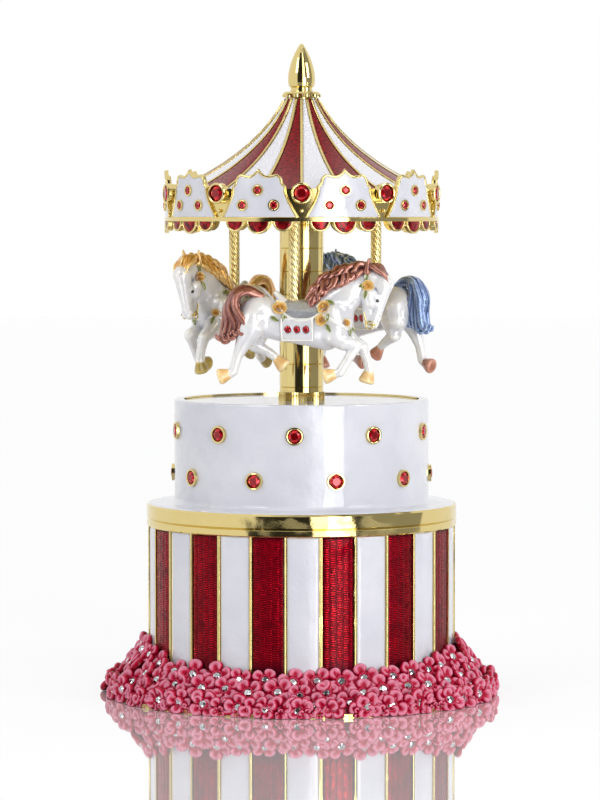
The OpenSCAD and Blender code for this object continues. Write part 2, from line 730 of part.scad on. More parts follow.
module governor_arbor() {
    color(STEEL) translate([wheel_x, gov_y, gov_z]) rotate([0, 90, 0]) {
        rotate([0, 0, gov_mesh_turn]) gear(gov_pinion_teeth, fine_module * gov_pinion_teeth / 2, 0.2, 0.38,
            0.32, wheel_t, 0.3);
        cylinder(r = gov_arbor_r, h = gov_plate_x + 1 - wheel_x, $fn = SMALL);
    }
}

// Turns the governor's pinion so that one of its gaps faces a tooth of the cylinder's wheel.
gov_aim = atan2(gov_y, gov_drop);
gov_wheel_offset = gov_aim - round(gov_aim / (360 / wheel_teeth)) * (360 / wheel_teeth);
gov_mesh_turn = gov_aim + 180 + 180 / gov_pinion_teeth
    + gov_wheel_offset * wheel_teeth / gov_pinion_teeth;

module worm_wheel() {
    color("goldenrod") translate([worm_wheel_x, gov_y, gov_z]) rotate([0, 90, 0])
        gear(worm_wheel_teeth, worm_wheel_r, 0.2, 0.36, 0.3, worm_wheel_t, gov_arbor_r + TOUCH);
}

module governor_worm() {
    turns = 3;
    color(STEEL) {
        translate([worm_x, worm_y, bed_top + 0.7])
            cylinder(r = fan_shaft_r, h = gov_arm_z + 0.8 - bed_top - 0.7, $fn = SMALL);
        translate([worm_x, worm_y, gov_z - worm_pitch * turns / 2])
            linear_extrude(worm_pitch * turns, twist = -360 * turns, slices = 16 * turns)
                rotate([0, 0, worm_turn]) translate([0.5, 0]) circle(r = 0.86, $fn = 12);
    }
}

module governor_fan() {
    color(STEEL) translate([worm_x, worm_y, fan_z]) difference() {
        union() {
            cylinder(r = 1, h = fan_h, $fn = SMALL);
            translate([-2.4, -0.2, 0]) cube([4.8, 0.4, fan_h]);
        }
        translate([0, 0, -1]) cylinder(r = fan_shaft_r + TOUCH, h = fan_h + 2, $fn = SMALL);
    }
}

// ---------------------------------------------------------------- turntable and column

module turntable() {
    color(GOLD) difference() {
        union() {
            ring(rod_r + running, turn_r, turn_z, turn_t);
            ring(turn_r - 0.5, turn_r, turn_z + turn_t - 0.1, turn_enamel_t + 0.1);
            ring(rod_r + running, column_r + 0.4, turn_z + turn_t - 0.1, turn_enamel_t + 0.1);
        }
    }
}

module turntable_enamel() {
    color(WHITE) ring(column_r + 0.4 + TOUCH, turn_r - 0.5 - TOUCH, turn_z + turn_t, turn_enamel_t);
}

module centre_column() {
    depth = 0.18;
    first = turn_top + collar_h + 1.4;
    grooves = floor((column_top - 1 - first) / groove_step);
    color(GOLD) rotate_extrude($fn = ROUND) polygon(concat(
        [[column_r - column_wall, turn_top], [column_r - 0.5, turn_top],
            [column_r - 0.5, turn_top + collar_h], [column_r, turn_top + collar_h]],
        [for (i = [0:grooves]) each [[column_r, first + i * groove_step - depth],
            [column_r - depth, first + i * groove_step], [column_r, first + i * groove_step + depth]]],
        [[column_r, column_top], [column_r - column_wall, column_top]]));
}

module column_collar() {
    ridges = 60;
    color(GOLD) translate([0, 0, turn_top]) linear_extrude(collar_h - TOUCH) difference() {
        polygon([for (i = [0:2 * ridges - 1]) let (r = column_r + (i % 2 == 0 ? 0.3 : 0.12))
            r * [cos(i * 180 / ridges), sin(i * 180 / ridges)]]);
        circle(r = column_r - 0.5 + TOUCH, $fn = ROUND);
    }
}

// ---------------------------------------------------------------- canopy

module canopy_ceiling() {
    color(GOLD) difference() {
        ring(rod_r + running, fascia_in_r - TOUCH, ceiling_z, ceiling_t);
        for (i = [0:2]) rotate([0, 0, pole_phase + 120 * i]) translate([0, -pole_ring_r, ceiling_z - 1])
            cylinder(r = spigot_r + running, h = ceiling_t + 2, $fn = SMALL);
    }
}

module ceiling_nut() {
    color(GOLD) translate([0, 0, ceiling_top]) difference() {
        cylinder(r = 3.2, h = 2.4, $fn = 6);
        translate([0, 0, -1]) cylinder(r = rod_r + running, h = 5, $fn = SMALL);
    }
}

// One half of a panel's outline from its peak down to its foot, pulled in by inset. The panel is
// drawn in the plane that touches the fascia, with y across and z over the ceiling plate.
function half_panel(inset) =
    let (peak = [0, peak_h - inset * 1.6], dip = [2.3, peak_h - 1.9 - inset],
        crest = [5.1 - inset * 0.2, peak_h - 1.4 - inset], ear = [7.65 - inset, peak_h - 4.8 - inset * 0.3],
        waist = [7.5 - inset, peak_h - 6.2], foot = [11 - inset * 1.3, 0.8 + inset * 0.3])
    concat([peak], quadratic_run(peak, [0.9, peak_h - 1.5 - inset], dip, 3),
        quadratic_run(dip, [3.7, peak_h - 1.9 - inset], crest, 2),
        quadratic_run(crest, [6.6 - inset, peak_h - 2.1 - inset],
            [6.6 - inset, peak_h - 3.7 - inset * 0.4], 3),
        [ear], quadratic_run(ear, [7.3 - inset, peak_h - 5.5], waist, 2),
        quadratic_run(waist, [8.2 - inset, peak_h - 8.8], foot, 3));

function panel_outline(inset) =
    let (half = half_panel(inset)) concat(half, reversed([for (p = half) if (p[0] > 0) [-p[0], p[1]]]));

module panel_prism(inset, r0, r1) {
    translate([r0, 0, ceiling_z]) rotate([90, 0, 90]) linear_extrude(r1 - r0) polygon(panel_outline(inset));
}

panel_stones = [[0, 8.3], [-4.4, 4.3], [4.4, 4.3]];
scallops = [[-10.4, 2.75], [0, 3.35], [10.4, 2.75]];
scallop_z = ceiling_z - 0.05;
large_setting_r = fascia_r + 1.5;

// Carries children to each stone's place on a panel, by its angle round the fascia.
module at_panel_stones() {
    for (p = panel_stones) rotate([0, 0, p[0] / fascia_r * 57.3]) translate([0, 0, ceiling_z + p[1]])
        children();
}

module canopy_fascia() {
    color(GOLD) union() {
        for (i = [0:panels - 1]) at_theta((i + 0.5) * panel_angle) intersection() {
            sector(fascia_in_r + 0.2, fascia_r, ceiling_z, peak_h + 1, 90 - panel_angle / 2,
                90 + panel_angle / 2);
            panel_prism(0, fascia_in_r - 4, fascia_r + 1);
        }
        ring(fascia_in_r, fascia_in_r + 0.45, ceiling_z, stone_z - ceiling_z + 1.25);
        ring(fascia_in_r, rail_r, ceiling_z, rail_h);
        for (i = [0:panels - 1]) {
            at_theta((i + 0.5) * panel_angle) at_panel_stones()
                setting(fascia_in_r + 0.3, fascia_r + enamel_t + 0.2, 0, small_stone_r, 0.7);
            at_theta(i * panel_angle)
                setting(fascia_in_r + 0.1, large_setting_r, stone_z, large_stone_r, 1.2);
            for (s = scallops) at_theta((i + 0.5) * panel_angle + s[0]) intersection() {
                radial(fascia_in_r - 2, fascia_r + 2, scallop_z, s[1]);
                sector(fascia_in_r + 0.1, fascia_r, ceiling_z - 4, 4.2, 80, 100);
            }
        }
    }
}

module fascia_enamel() {
    color(WHITE) for (i = [0:panels - 1]) at_theta((i + 0.5) * panel_angle) difference() {
        intersection() {
            sector(fascia_r, fascia_r + enamel_t * 0.6, panel_base + 0.1, peak_h, 90 - panel_angle / 2,
                90 + panel_angle / 2);
            panel_prism(0.55, fascia_r - 4, fascia_r + 2);
        }
        at_panel_stones() radial(fascia_r - 3, fascia_r + 3, 0, small_stone_r + 2 * TOUCH + bezel_t);
    }
}

module scallop_enamel() {
    color(RED) for (i = [0:panels - 1], s = scallops) at_theta((i + 0.5) * panel_angle + s[0])
        intersection() {
            radial(fascia_in_r - 2, fascia_r + 2, scallop_z, s[1] - 0.55);
            sector(fascia_r, fascia_r + enamel_t * 0.6, ceiling_z - 4, 4 - TOUCH, 80, 100);
        }
}

module fascia_large_crystals() {
    color("red") for (i = [0:panels - 1]) at_theta(i * panel_angle)
        translate([fascia_in_r + 1.3, 0, stone_z]) stone(large_stone_r, 1);
}

module fascia_small_crystals() {
    color("red") for (i = [0:panels - 1]) at_theta((i + 0.5) * panel_angle) at_panel_stones()
        translate([fascia_in_r + 1, 0, 0]) stone(small_stone_r, 0.55);
}

// The roof's outer edge in section, from its top to its eaves, lifted by a height off the surface.
function roof_edge(lift) = [for (p = bezier_run([[roof_top_r, roof_top_z],
    [roof_top_r + 5, roof_top_z - 9.8], [roof_edge_r - 16.2, roof_edge_z + 6.8],
    [roof_edge_r, roof_edge_z]], 9)) p + lift * [0.6, 0.8]];

module roof_band(low, high) {
    polygon(concat(roof_edge(high), reversed(roof_edge(low))));
}

module roof_rib(width, high) {
    translate([0, width / 2, 0]) rotate([90, 0, 0]) linear_extrude(width) roof_band(-0.3, high);
}

module canopy_roof() {
    color(GOLD) union() {
        rotate_extrude($fn = ROUND) roof_band(-roof_t, 0);
        ring(roof_edge_r - 2, fascia_in_r - TOUCH, roof_edge_z - 1.1, 1);
        for (i = [0:2 * panels - 1]) at_theta(i * panel_angle / 2) roof_rib(rib_w, rib_proud);
    }
}

module roof_stripes(first) {
    for (i = [0:panels - 1]) {
        start = (i + first / 2) * panel_angle;
        difference() {
            at_theta(start) rotate_extrude(angle = panel_angle / 2, $fn = ROUND) roof_band(0, roof_enamel_t);
            for (side = [0, 0.5]) at_theta(start + side * panel_angle)
                translate([0, -rib_w / 2 - TOUCH, roof_edge_z - 2])
                    cube([rail_r, rib_w + 2 * TOUCH, roof_h + 4]);
        }
    }
}

module roof_white_enamel() {
    color(WHITE) roof_stripes(0);
}

module roof_red_enamel() {
    color(RED) roof_stripes(1);
}

module finial() {
    plate_r = roof_top_r + 0.7;
    foot = roof_top_z + 0.35;
    neck = foot + 1.9;
    lobes = 10;
    color(GOLD) union() {
        rotate_extrude($fn = 48) polygon(concat([[0, roof_top_z - 1 + TOUCH],
            [rod_r + TOUCH, roof_top_z - 1 + TOUCH], [rod_r + TOUCH, roof_top_z - 4],
            [roof_top_r - roof_t - 0.5, roof_top_z - 4], [roof_top_r - roof_t - 0.5, foot],
            [plate_r - 0.7, foot], [plate_r, foot + 1.1], [plate_r - 0.3, neck - 0.3],
            [bud_r - 0.5, neck], [bud_r - 0.65, neck + 0.9]],
            bezier_run([[bud_r - 0.1, neck + 1.3], [bud_r + 0.9, neck + 4.2],
                [bud_r * 0.75, neck + bud_h * 0.75], [0.45, neck + bud_h - 0.15]], 9),
            [[0, neck + bud_h]]));
        for (i = [0:lobes - 1]) rotate([0, 0, i * 360 / lobes]) translate([plate_r - 0.75, 0, foot + 0.15])
            cylinder(r = 0.95, h = 0.8, $fn = 16);
    }
}

// ---------------------------------------------------------------- poles and horses

spigot_r = 0.9;
seat_z = turn_top + seat_h;

// A pole from a seat raised by rise up to the ceiling, with a spigot into the horse and the ceiling.
module pole(rise) {
    low = seat_z + rise;
    length = ceiling_z - low;
    color(GOLD) translate([0, -pole_ring_r, 0]) {
        translate([0, 0, low - 2.6]) cylinder(r = spigot_r, h = length + 2.6 + ceiling_t, $fn = SMALL);
        translate([0, 0, low]) linear_extrude(length, twist = 360, slices = 30)
            polygon([for (i = [0:11]) let (r = pole_r * (0.9 + 0.1 * cos(4 * i * 30)))
                r * [cos(i * 30), sin(i * 30)]]);
    }
}

module front_pole() {
    rotate([0, 0, pole_phase]) pole(0);
}

module right_pole() {
    rotate([0, 0, pole_phase + 120]) pole(side_rise);
}

module left_pole() {
    rotate([0, 0, pole_phase - 120]) pole(side_rise);
}

module ball(p) {
    translate([p[0], p[1], p[2]]) sphere(r = p[3], $fn = 10);
}

// Joins a row of balls [x, y, z, radius] with tapered limbs.
module limb(row) {
    for (i = [0:len(row) - 2]) hull() {
        ball(row[i]);
        ball(row[i + 1]);
    }
}

// A galloping horse that faces +X, its origin on the pole at the height of the seat.
module horse(hair) {
    color("ghostwhite") {
        scale([1, 0.76, 1])
            limb([[-9.4, 0, -2.8, 6.3], [-0.4, 0, -5, 5], [9.6, 0, -4.8, 6.5], [12, 0, -2.6, 5.3]]);
        limb([[11, 0, -0.6, 4.6], [15.6, 0, 4, 4.1], [21.6, 0, 5.4, 3.3]]);
        limb([[22.4, 0, 5, 3.2], [24.4, 0, 4.9, 2.7], [22, 0, 0.8, 2.8], [20.5, 0, -3.8, 2]]);
        limb([[-11, -2.4, -6.2, 3.6], [-14.4, -2.8, -10.6, 2], [-15.8, -2.8, -15.8, 1.2]]);
        limb([[-9, 2.4, -7, 3.2], [-9.8, 2.8, -11, 1.9], [-5.4, 2.8, -13, 1.2]]);
        limb([[11.4, -2.4, -8.4, 3], [16.4, -3, -10.8, 1.8], [12, -3, -16.4, 1.1]]);
        limb([[13, 2.4, -8, 3], [20.2, 3, -11.4, 1.6], [19.8, 3, -16.4, 1.1]]);
        hull() {
            translate([1.4, 0, -1.5]) cube([10.2, 7.4, 1.4], center = true);
            translate([1.4, 0, -6.8]) cube([8.6, 9.8, 1.4], center = true);
        }
        translate([-5.6, -2.4, -2]) cube([1.4, 4.8, 5.8]);
        translate([5.4, -2, -2]) cube([1.3, 4, 3.8]);
    }
    color("sandybrown") {
        limb([[-15.8, -2.8, -15.8, 1.2], [-19, -2.8, -18.3, 1.7]]);
        limb([[-5.4, 2.8, -13, 1.2], [-3.4, 2.8, -15.2, 1.6]]);
        limb([[12, -3, -16.4, 1.1], [9.2, -3, -18.5, 1.7]]);
        limb([[19.8, 3, -16.4, 1.1], [19.4, 3, -18.9, 1.8]]);
    }
    color(hair) {
        limb([[-11.4, 0, 1.6, 1.8], [-13.6, -0.4, 3.2, 1.9], [-16.6, -1, 1.4, 2.4], [-17.3, -1.6, -3, 2.3],
            [-16.2, -2.2, -6, 2.2], [-13, -2.6, -6.6, 2]]);
        limb([[6.2, 0, 2.6, 1.7], [10.8, 0, 5.6, 2.2], [15.6, 0, 7.5, 2.1], [20, 0, 9.2, 2.1],
            [24.4, 0, 7.6, 1.4]]);
    }
}

module placed_horse(turn, rise, yaw, hair) {
    rotate([0, 0, turn]) translate([0, -pole_ring_r, seat_z + rise]) rotate([0, 0, yaw]) difference() {
        horse(hair);
        translate([0, 0, -3]) cylinder(r = spigot_r + FIT, h = 4, $fn = 24);
        translate([0, 0, -0.01]) cylinder(r = pole_r + FIT, h = 4, $fn = 24);
        for (side = [-1, 1], x = saddle_stone_x)
            translate([x, side * 4.7, saddle_stone_z]) rotate([90, 0, 0])
            cylinder(r = saddle_stone_r + FIT, h = 1.5, center = true, $fn = 16);
    }
}

saddle_stone_x = [-1.4, 1.1, 3.6];
saddle_stone_z = -6.1;

module front_horse() {
    placed_horse(pole_phase, 0, 0, "rosybrown");
}

module right_horse() {
    placed_horse(pole_phase + 120, side_rise, right_yaw, "steelblue");
}

module left_horse() {
    placed_horse(pole_phase - 120, side_rise, 0, "goldenrod");
}

// Three stones on each side of each saddle cloth.
module saddle_crystals() {
    color("red") for (place = [[0, 0, 0], [120, side_rise, right_yaw], [-120, side_rise, 0]], side = [-1, 1])
        rotate([0, 0, pole_phase + place[0]]) translate([0, -pole_ring_r, seat_z + place[1]])
            rotate([0, 0, place[2]]) for (x = saddle_stone_x)
                translate([x, side * 4.05, saddle_stone_z]) rotate([0, 0, side * 90])
                    stone(saddle_stone_r, 0.6);
}

drum_shell();
drum_ledge();
drum_foot();
drum_red_enamel();
drum_white_enamel();
flower_skirt();
skirt_crystals();
base_plate();
base_plate_screws();
movement_bedplate();
movement_screws();
inner_bearing();
outer_bearing();
governor_frame();
music_comb();
tier_flange();
tier_shell();
tier_deck();
tier_enamel();
tier_crystals();
tier_screws();
shaft_bush();
thrust_washer();
winding_key();
winding_arbor();
spring_barrel();
barrel_cover();
mainspring();
drive_shaft();
music_cylinder();
cylinder_pins();
cylinder_arbor();
cylinder_pinion();
cylinder_wheel();
governor_arbor();
worm_wheel();
governor_worm();
governor_fan();
turntable();
turntable_enamel();
centre_column();
column_collar();
canopy_ceiling();
ceiling_nut();
canopy_fascia();
fascia_enamel();
scallop_enamel();
fascia_large_crystals();
fascia_small_crystals();
canopy_roof();
roof_red_enamel();
roof_white_enamel();
finial();
front_pole();
right_pole();
left_pole();
front_horse();
right_horse();
left_horse();
saddle_crystals();
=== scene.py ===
# %% [markdown]
# A wind-up music box in the manner of an enamelled trinket: a striped drum on a skirt of flowers, a white
# upper tier, and a carousel that turns on top. Its frame comes from CAD, so every piece here is built around
# those solids and nothing is fitted by eye. Lengths below are in millimetres, as a maker writes them, and
# one helper turns them into metres.

# %% Load the frame
import bpy
import math
import numpy as np
from mathutils import Euler, Matrix, Vector


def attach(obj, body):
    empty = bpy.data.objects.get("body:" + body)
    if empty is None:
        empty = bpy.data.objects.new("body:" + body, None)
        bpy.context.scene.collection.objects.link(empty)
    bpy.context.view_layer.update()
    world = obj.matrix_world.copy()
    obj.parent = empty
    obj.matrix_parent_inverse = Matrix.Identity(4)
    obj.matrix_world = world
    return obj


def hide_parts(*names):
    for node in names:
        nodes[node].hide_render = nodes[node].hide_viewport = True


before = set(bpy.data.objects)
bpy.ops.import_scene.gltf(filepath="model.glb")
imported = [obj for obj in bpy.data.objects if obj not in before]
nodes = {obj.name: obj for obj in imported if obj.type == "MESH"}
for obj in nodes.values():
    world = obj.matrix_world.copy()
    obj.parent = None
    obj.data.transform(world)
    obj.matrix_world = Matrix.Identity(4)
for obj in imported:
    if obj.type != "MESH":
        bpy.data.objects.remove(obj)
bpy.context.view_layer.update()
scene = bpy.context.scene
MM = 0.001

# %% [markdown]
# Sizes that several pieces share, and the one way in which angles are read here: from the front (-Y),
# growing towards +X, because the box is drawn and decorated from its front.

# %% Shared sizes
DRUM_R, LINE_R = 42.05, 42.62           # the drum's wall, and the tops of its raised lines
STRIPE_LOW, STRIPE_TOP = 5.0, 47.0      # foot and head of the drum's cells
STRIPES, STRIPE_PHASE = 28, 7.0         # cells round the drum, and where the first one starts, in degrees
TIER_R = 35.3                           # the tier's wall
FASCIA_R, CEILING = 37.5, 131.2         # the canopy's wall, and its lower edge
PANELS, STONE_Z = 10, 138.7             # crowned panels, and the height of the stones between them
POLE_RING, SEAT = 23.0, 108.1           # where the poles stand, and where they enter the horses
TAU = 2 * math.pi


def around(radius, theta, z):
    """Points at an angle in degrees from the front, on a radius, at a height."""
    a = np.radians(theta)
    return np.stack(np.broadcast_arrays(radius * np.sin(a), -radius * np.cos(a), z), -1).astype(float)


def outwards(theta, lift=0.0):
    """Unit vectors that point away from the axis at an angle, tipped up by lift degrees."""
    a, b = np.radians(theta), np.radians(lift)
    parts = np.broadcast_arrays(np.sin(a) * np.cos(b), -np.cos(a) * np.cos(b), np.sin(b))
    return np.stack(parts, -1).astype(float)


# %% [markdown]
# Every hand-built piece passes through one helper. It turns points and faces into a mesh, shades it smooth
# up to a sharp angle or leaves its facets flat, and tells the frame which body carries it and which CAD
# nodes it stands for. Faces are listed so that they look outwards from the start: that is simpler to keep
# right than a mesh that is turned round afterwards.

# %% The mesh helper
def settle(obj, body, replaces=()):
    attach(obj, body)
    if replaces:
        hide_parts(*replaces)
    print(f"{obj.name}: {len(obj.data.polygons)} faces on {body}")
    return obj


def mesh_of(name, points, faces, sharp=40, uv=None, shade=None):
    mesh = bpy.data.meshes.new(name)
    mesh.from_pydata((np.asarray(points, float) * MM).tolist(), [], [[int(i) for i in f] for f in faces])
    if uv is not None:
        layer = mesh.uv_layers.new(name="UVMap")
        corner = np.empty(len(mesh.loops), np.int32)
        mesh.loops.foreach_get("vertex_index", corner)
        layer.data.foreach_set("uv", np.asarray(uv, np.float32)[corner].ravel())
    if shade is not None:
        layer = mesh.attributes.new("shade", "FLOAT", "POINT")
        layer.data.foreach_set("value", np.asarray(shade, np.float32))
    mesh.validate()
    mesh.shade_flat() if sharp is None else mesh.shade_smooth()
    if sharp:
        mesh.set_sharp_from_angle(angle=math.radians(sharp))
    return mesh


def piece(name, points, faces, material, body, slot, replaces=(), **how):
    mesh = mesh_of(name, points, faces, **how)
    mesh.materials.append(material)
    obj = bpy.data.objects.new(name, mesh)
    scene.collection.objects.link(obj)
    return settle(obj, body, replaces)


def grid_faces(rows, cols, wrap):
    """Quads of a grid of rows by cols points, closed round its columns if wrap."""
    i, j = np.meshgrid(np.arange(rows - 1), np.arange(cols if wrap else cols - 1), indexing="ij")
    k = (j + 1) % cols
    return np.stack([i * cols + j, i * cols + k, (i + 1) * cols + k, (i + 1) * cols + j], -1).reshape(-1, 4)


def turned(profile, steps=192):
    """Points and faces of a closed (r, z) profile, run clockwise, turned once about the axis."""
    p = np.array(profile, float)
    a = np.arange(steps) * 360 / steps
    points = np.concatenate([around(r, a, z) for r, z in p])
    return points, grid_faces(len(p) + 1, steps, True) % (len(p) * steps)


# %% [markdown]
# The camera is a long lens a metre off, level with the canopy and tipped down by three degrees. A short lens
# close by would be easier to place, but it would make the drum bulge and the canopy shrink.

# %% Camera
FOCAL_PX, LONG_SIDE_PX, DISTANCE, EYE = 3595, 800, 996.8, 134.3
PITCH, AXIS_X = 3.03, -0.42
camera = bpy.data.objects.new("studio_camera", bpy.data.cameras.new("studio_camera"))
camera.data.lens = camera.data.sensor_width * FOCAL_PX / LONG_SIDE_PX
camera.data.clip_start, camera.data.clip_end = 0.05, 60
camera.location = Vector((AXIS_X, -DISTANCE, EYE)) * MM
camera.rotation_euler = (math.radians(90 - PITCH), 0, 0)
scene.collection.objects.link(camera)
scene.camera = camera
scene.view_settings.view_transform = "Standard"
print("lens", round(camera.data.lens, 2), "mm")


# %% [markdown]
# Node trees are easier to read as code if each node takes one line. This small class adds a node, sets its
# fields, and joins a socket or writes a value into each input that is named.

# %% Node shorthand
class Graph:
    def __init__(self, tree):
        self.tree = tree

    def __call__(self, kind, inputs=None, **fields):
        node = self.tree.nodes.new(kind)
        for key, value in fields.items():
            setattr(node, key, value)
        for key, value in (inputs or {}).items():
            self.feed(node.inputs[key], value)
        return node

    def feed(self, socket, value):
        if isinstance(value, bpy.types.NodeSocket):
            self.tree.links.new(value, socket)
        else:
            socket.default_value = (*value, 1) if socket.type == "RGBA" and len(value) == 3 else value

    def math(self, operation, *values):
        return self("ShaderNodeMath", dict(enumerate(values)), operation=operation).outputs[0]

    def fade(self, value, low, high, to_low=0.0, to_high=1.0):
        """A smooth step from to_low to to_high as value goes from low to high."""
        return self("ShaderNodeMapRange", {0: value, 1: low, 2: high, 3: to_low, 4: to_high},
                    interpolation_type="SMOOTHSTEP").outputs[0]

    def mix(self, factor, a, b):
        return self("ShaderNodeMix", {0: factor, 6: a, 7: b}, data_type="RGBA").outputs[2]

    def noise(self, vector, scale, detail=2.0):
        return self("ShaderNodeTexNoise", {"Vector": vector, "Scale": scale, "Detail": detail}).outputs[0]


# %% [markdown]
# The studio is painted by direction in the world's shader, instead of being built as walls: white all round,
# a dark room in front and to the right, dimmer towards its far end, and one tall lit window in it. Polished
# gold needs the dark room, because a mirror in an all-white studio looks like plain paint. Azimuth runs in
# radians from the front, growing towards +X. The camera itself sees plain white.

# %% The studio
world = bpy.data.worlds.new("studio")
scene.world = world
world.use_nodes = True
g = Graph(world.node_tree)
background = world.node_tree.nodes["Background"]
way = g("ShaderNodeSeparateXYZ", {0: g("ShaderNodeTexCoord").outputs["Generated"]}).outputs
azimuth = g.math("ARCTAN2", way[0], g.math("MULTIPLY", way[1], -1.0))
WALL, ROOM, DIM, WINDOW = 1.0, 0.03, 0.32, 2.6


def between(value, low, high, soft):
    rise, fall = g.fade(value, low - soft, low + soft), g.fade(value, high - soft, high + soft, 1, 0)
    return g.math("MULTIPLY", rise, fall)


room = g.math("MULTIPLY", between(azimuth, -0.62, 1.75, 0.08), g.fade(way[2], 0.92, 0.72))
window = g.math("MULTIPLY", between(azimuth, 0.16, 0.54, 0.02), g.fade(way[2], 0.82, 0.76))
level = g.fade(room, 0, 1, WALL, ROOM)
dim = g.math("MULTIPLY", g.math("MULTIPLY", room, between(azimuth, 0.78, 2.0, 0.1)), DIM)
level = g.math("ADD", g.math("ADD", level, dim), g.math("MULTIPLY", window, WINDOW))
seen = g("ShaderNodeLightPath").outputs["Is Camera Ray"]
strength = g("ShaderNodeMix", {0: seen, 2: level, 3: 1.0}, data_type="FLOAT").outputs[0]
g.feed(background.inputs["Color"], (1.0, 1.0, 1.0))
g.feed(background.inputs["Strength"], strength)
print("studio: walls", WALL, "room", ROOM, "window", WINDOW)

# %% [markdown]
# Three soft boxes add what a painted studio can't: highlights with an edge on enamel, and a soft shadow
# under the canopy. The narrow one stands near the drum and draws an upright streak down its strips. The
# table is a flat sheet, part metal so that it mirrors the box evenly at this flat angle. It ends in front of
# the box and to its right, because the polished band mirrors what lies there, and it should find the dark
# room and not the table.

# %% Soft boxes and table
def soft_box(name, place, aim, size, watts):
    lamp = bpy.data.lights.new(name, "AREA")
    lamp.shape, lamp.size, lamp.size_y, lamp.energy = "RECTANGLE", size[0], size[1], watts
    obj = bpy.data.objects.new(name, lamp)
    obj.location = place
    obj.rotation_euler = (Vector(aim) - Vector(place)).to_track_quat("-Z", "Y").to_euler()
    scene.collection.objects.link(obj)


soft_box("key_box", (-0.9, -0.9, 0.95), (0, 0, 0.09), (0.5, 0.5), 3.5)
soft_box("fill_box", (1.0, -0.6, 0.6), (0, 0, 0.09), (0.4, 0.6), 3.7)
soft_box("strip_box", (0.28, -0.53, 0.13), (0, 0, 0.06), (0.2, 0.26), 0.9)
LEFT, RIGHT, NEAR, FAR = -3, 0.42, -0.4, 3.5
table_mesh = bpy.data.meshes.new("table")
corners = [(LEFT, NEAR, 0), (RIGHT, NEAR, 0), (RIGHT, FAR, 0), (LEFT, FAR, 0)]
table_mesh.from_pydata(corners, [], [(0, 1, 2, 3)])
table = bpy.data.objects.new("table", table_mesh)
scene.collection.objects.link(table)
gloss = bpy.data.materials.new("table_gloss")
gloss.use_nodes = True
shader = gloss.node_tree.nodes["Principled BSDF"]
for label, value in (("Base Color", (0.95, 0.95, 0.96, 1)), ("Roughness", 0.03), ("IOR", 1.9),
                     ("Metallic", 0.55)):
    shader.inputs[label].default_value = value
table_mesh.materials.append(gloss)
print("table and soft boxes are in place")

# %% [markdown]
# Finishes come next. A shader group holds an effect that several finishes share, with named sockets, so that
# a change in one place reaches them all. This helper makes a group; the same one serves Geometry Nodes
# later.

# %% Node groups
def new_tree(name, kind, inputs, outputs):
    """A node group: inputs are (label, socket type, value), outputs are (label, socket type)."""
    tree = bpy.data.node_groups.new(name, kind)
    for label, socket, value in inputs:
        made = tree.interface.new_socket(label, in_out="INPUT", socket_type=socket)
        if value is not None:
            made.default_value = value
    for label, socket in outputs:
        tree.interface.new_socket(label, in_out="OUTPUT", socket_type=socket)
    graph = Graph(tree)
    return graph, graph("NodeGroupInput").outputs, graph("NodeGroupOutput").inputs


FLOAT, COLOR, GEOMETRY = "NodeSocketFloat", "NodeSocketColor", "NodeSocketGeometry"

# %% [markdown]
# Cast and polished metal is never truly flat: a slow wave bends its reflections and a fine one breaks them
# up. The group adds the two, measured in metres on the piece's own coordinates, so it has the same scale on
# every piece. A second group varies roughness in cloudy patches, as fingers and polishing leave it.

# %% Surface groups
g, given, made = new_tree("hand_polish", "ShaderNodeTree",
                          [("Wave", FLOAT, 90.0), ("Grain", FLOAT, 1400.0), ("Grain share", FLOAT, 0.15)],
                          [("Height", FLOAT)])
place = g("ShaderNodeTexCoord").outputs["Object"]
wave = g.noise(place, given["Wave"], 1.0)
grain = g.noise(place, given["Grain"], 2.0)
g.feed(made["Height"], g.math("ADD", wave, g.math("MULTIPLY", grain, given["Grain share"])))
hand_polish = g.tree

g, given, made = new_tree("cloudy", "ShaderNodeTree",
                          [("Scale", FLOAT, 120.0), ("Low", FLOAT, 0.1), ("High", FLOAT, 0.3)],
                          [("Value", FLOAT)])
place = g("ShaderNodeTexCoord").outputs["Object"]
g.feed(made["Value"], g.fade(g.noise(place, given["Scale"], 3.0), 0.32, 0.68, given["Low"], given["High"]))
cloudy = g.tree

# %% [markdown]
# Hollows between raised forms are painted darker, as painted shade, and crests paler, as painted light.
# Each sculpted piece carries a point attribute, shade, from 0 in a hollow to 1 on a crest. This group turns
# it into colour, with a little cloudiness so that the change isn't mechanical.

# %% Painted shade and light by depth
g, given, made = new_tree("painted_depth_shade", "ShaderNodeTree",
                          [("Hollow", COLOR, (0, 0, 0, 1)), ("Body", COLOR, (0.5, 0.5, 0.5, 1)),
                           ("Crest", COLOR, (1, 1, 1, 1)), ("Mottle", FLOAT, 0.12), ("Scale", FLOAT, 500.0)],
                          [("Color", COLOR), ("Depth", FLOAT)])
place = g("ShaderNodeTexCoord").outputs["Object"]
shade = g("ShaderNodeAttribute", attribute_name="shade").outputs["Fac"]
mottle = g.math("MULTIPLY", g.math("SUBTRACT", g.noise(place, given["Scale"], 3.0), 0.5), given["Mottle"])
depth = g.math("ADD", shade, mottle)
low = g.mix(g.fade(depth, 0.0, 0.5), given["Hollow"], given["Body"])
g.feed(made["Color"], g.mix(g.fade(depth, 0.5, 1.0), low, given["Crest"]))
g.feed(made["Depth"], depth)
painted_depth_shade = g.tree
print("shader groups:", hand_polish.name, cloudy.name, painted_depth_shade.name)

# %% [markdown]
# Engine turning is the pattern of fine cuts that a rose engine leaves in metal under see-through enamel. On
# the drum it stands in columns of short level dashes, each column half a step off its neighbour. The group
# reads the strip's own UVs, u from -1 to 1 across and v in millimetres up, so the cuts follow every strip.

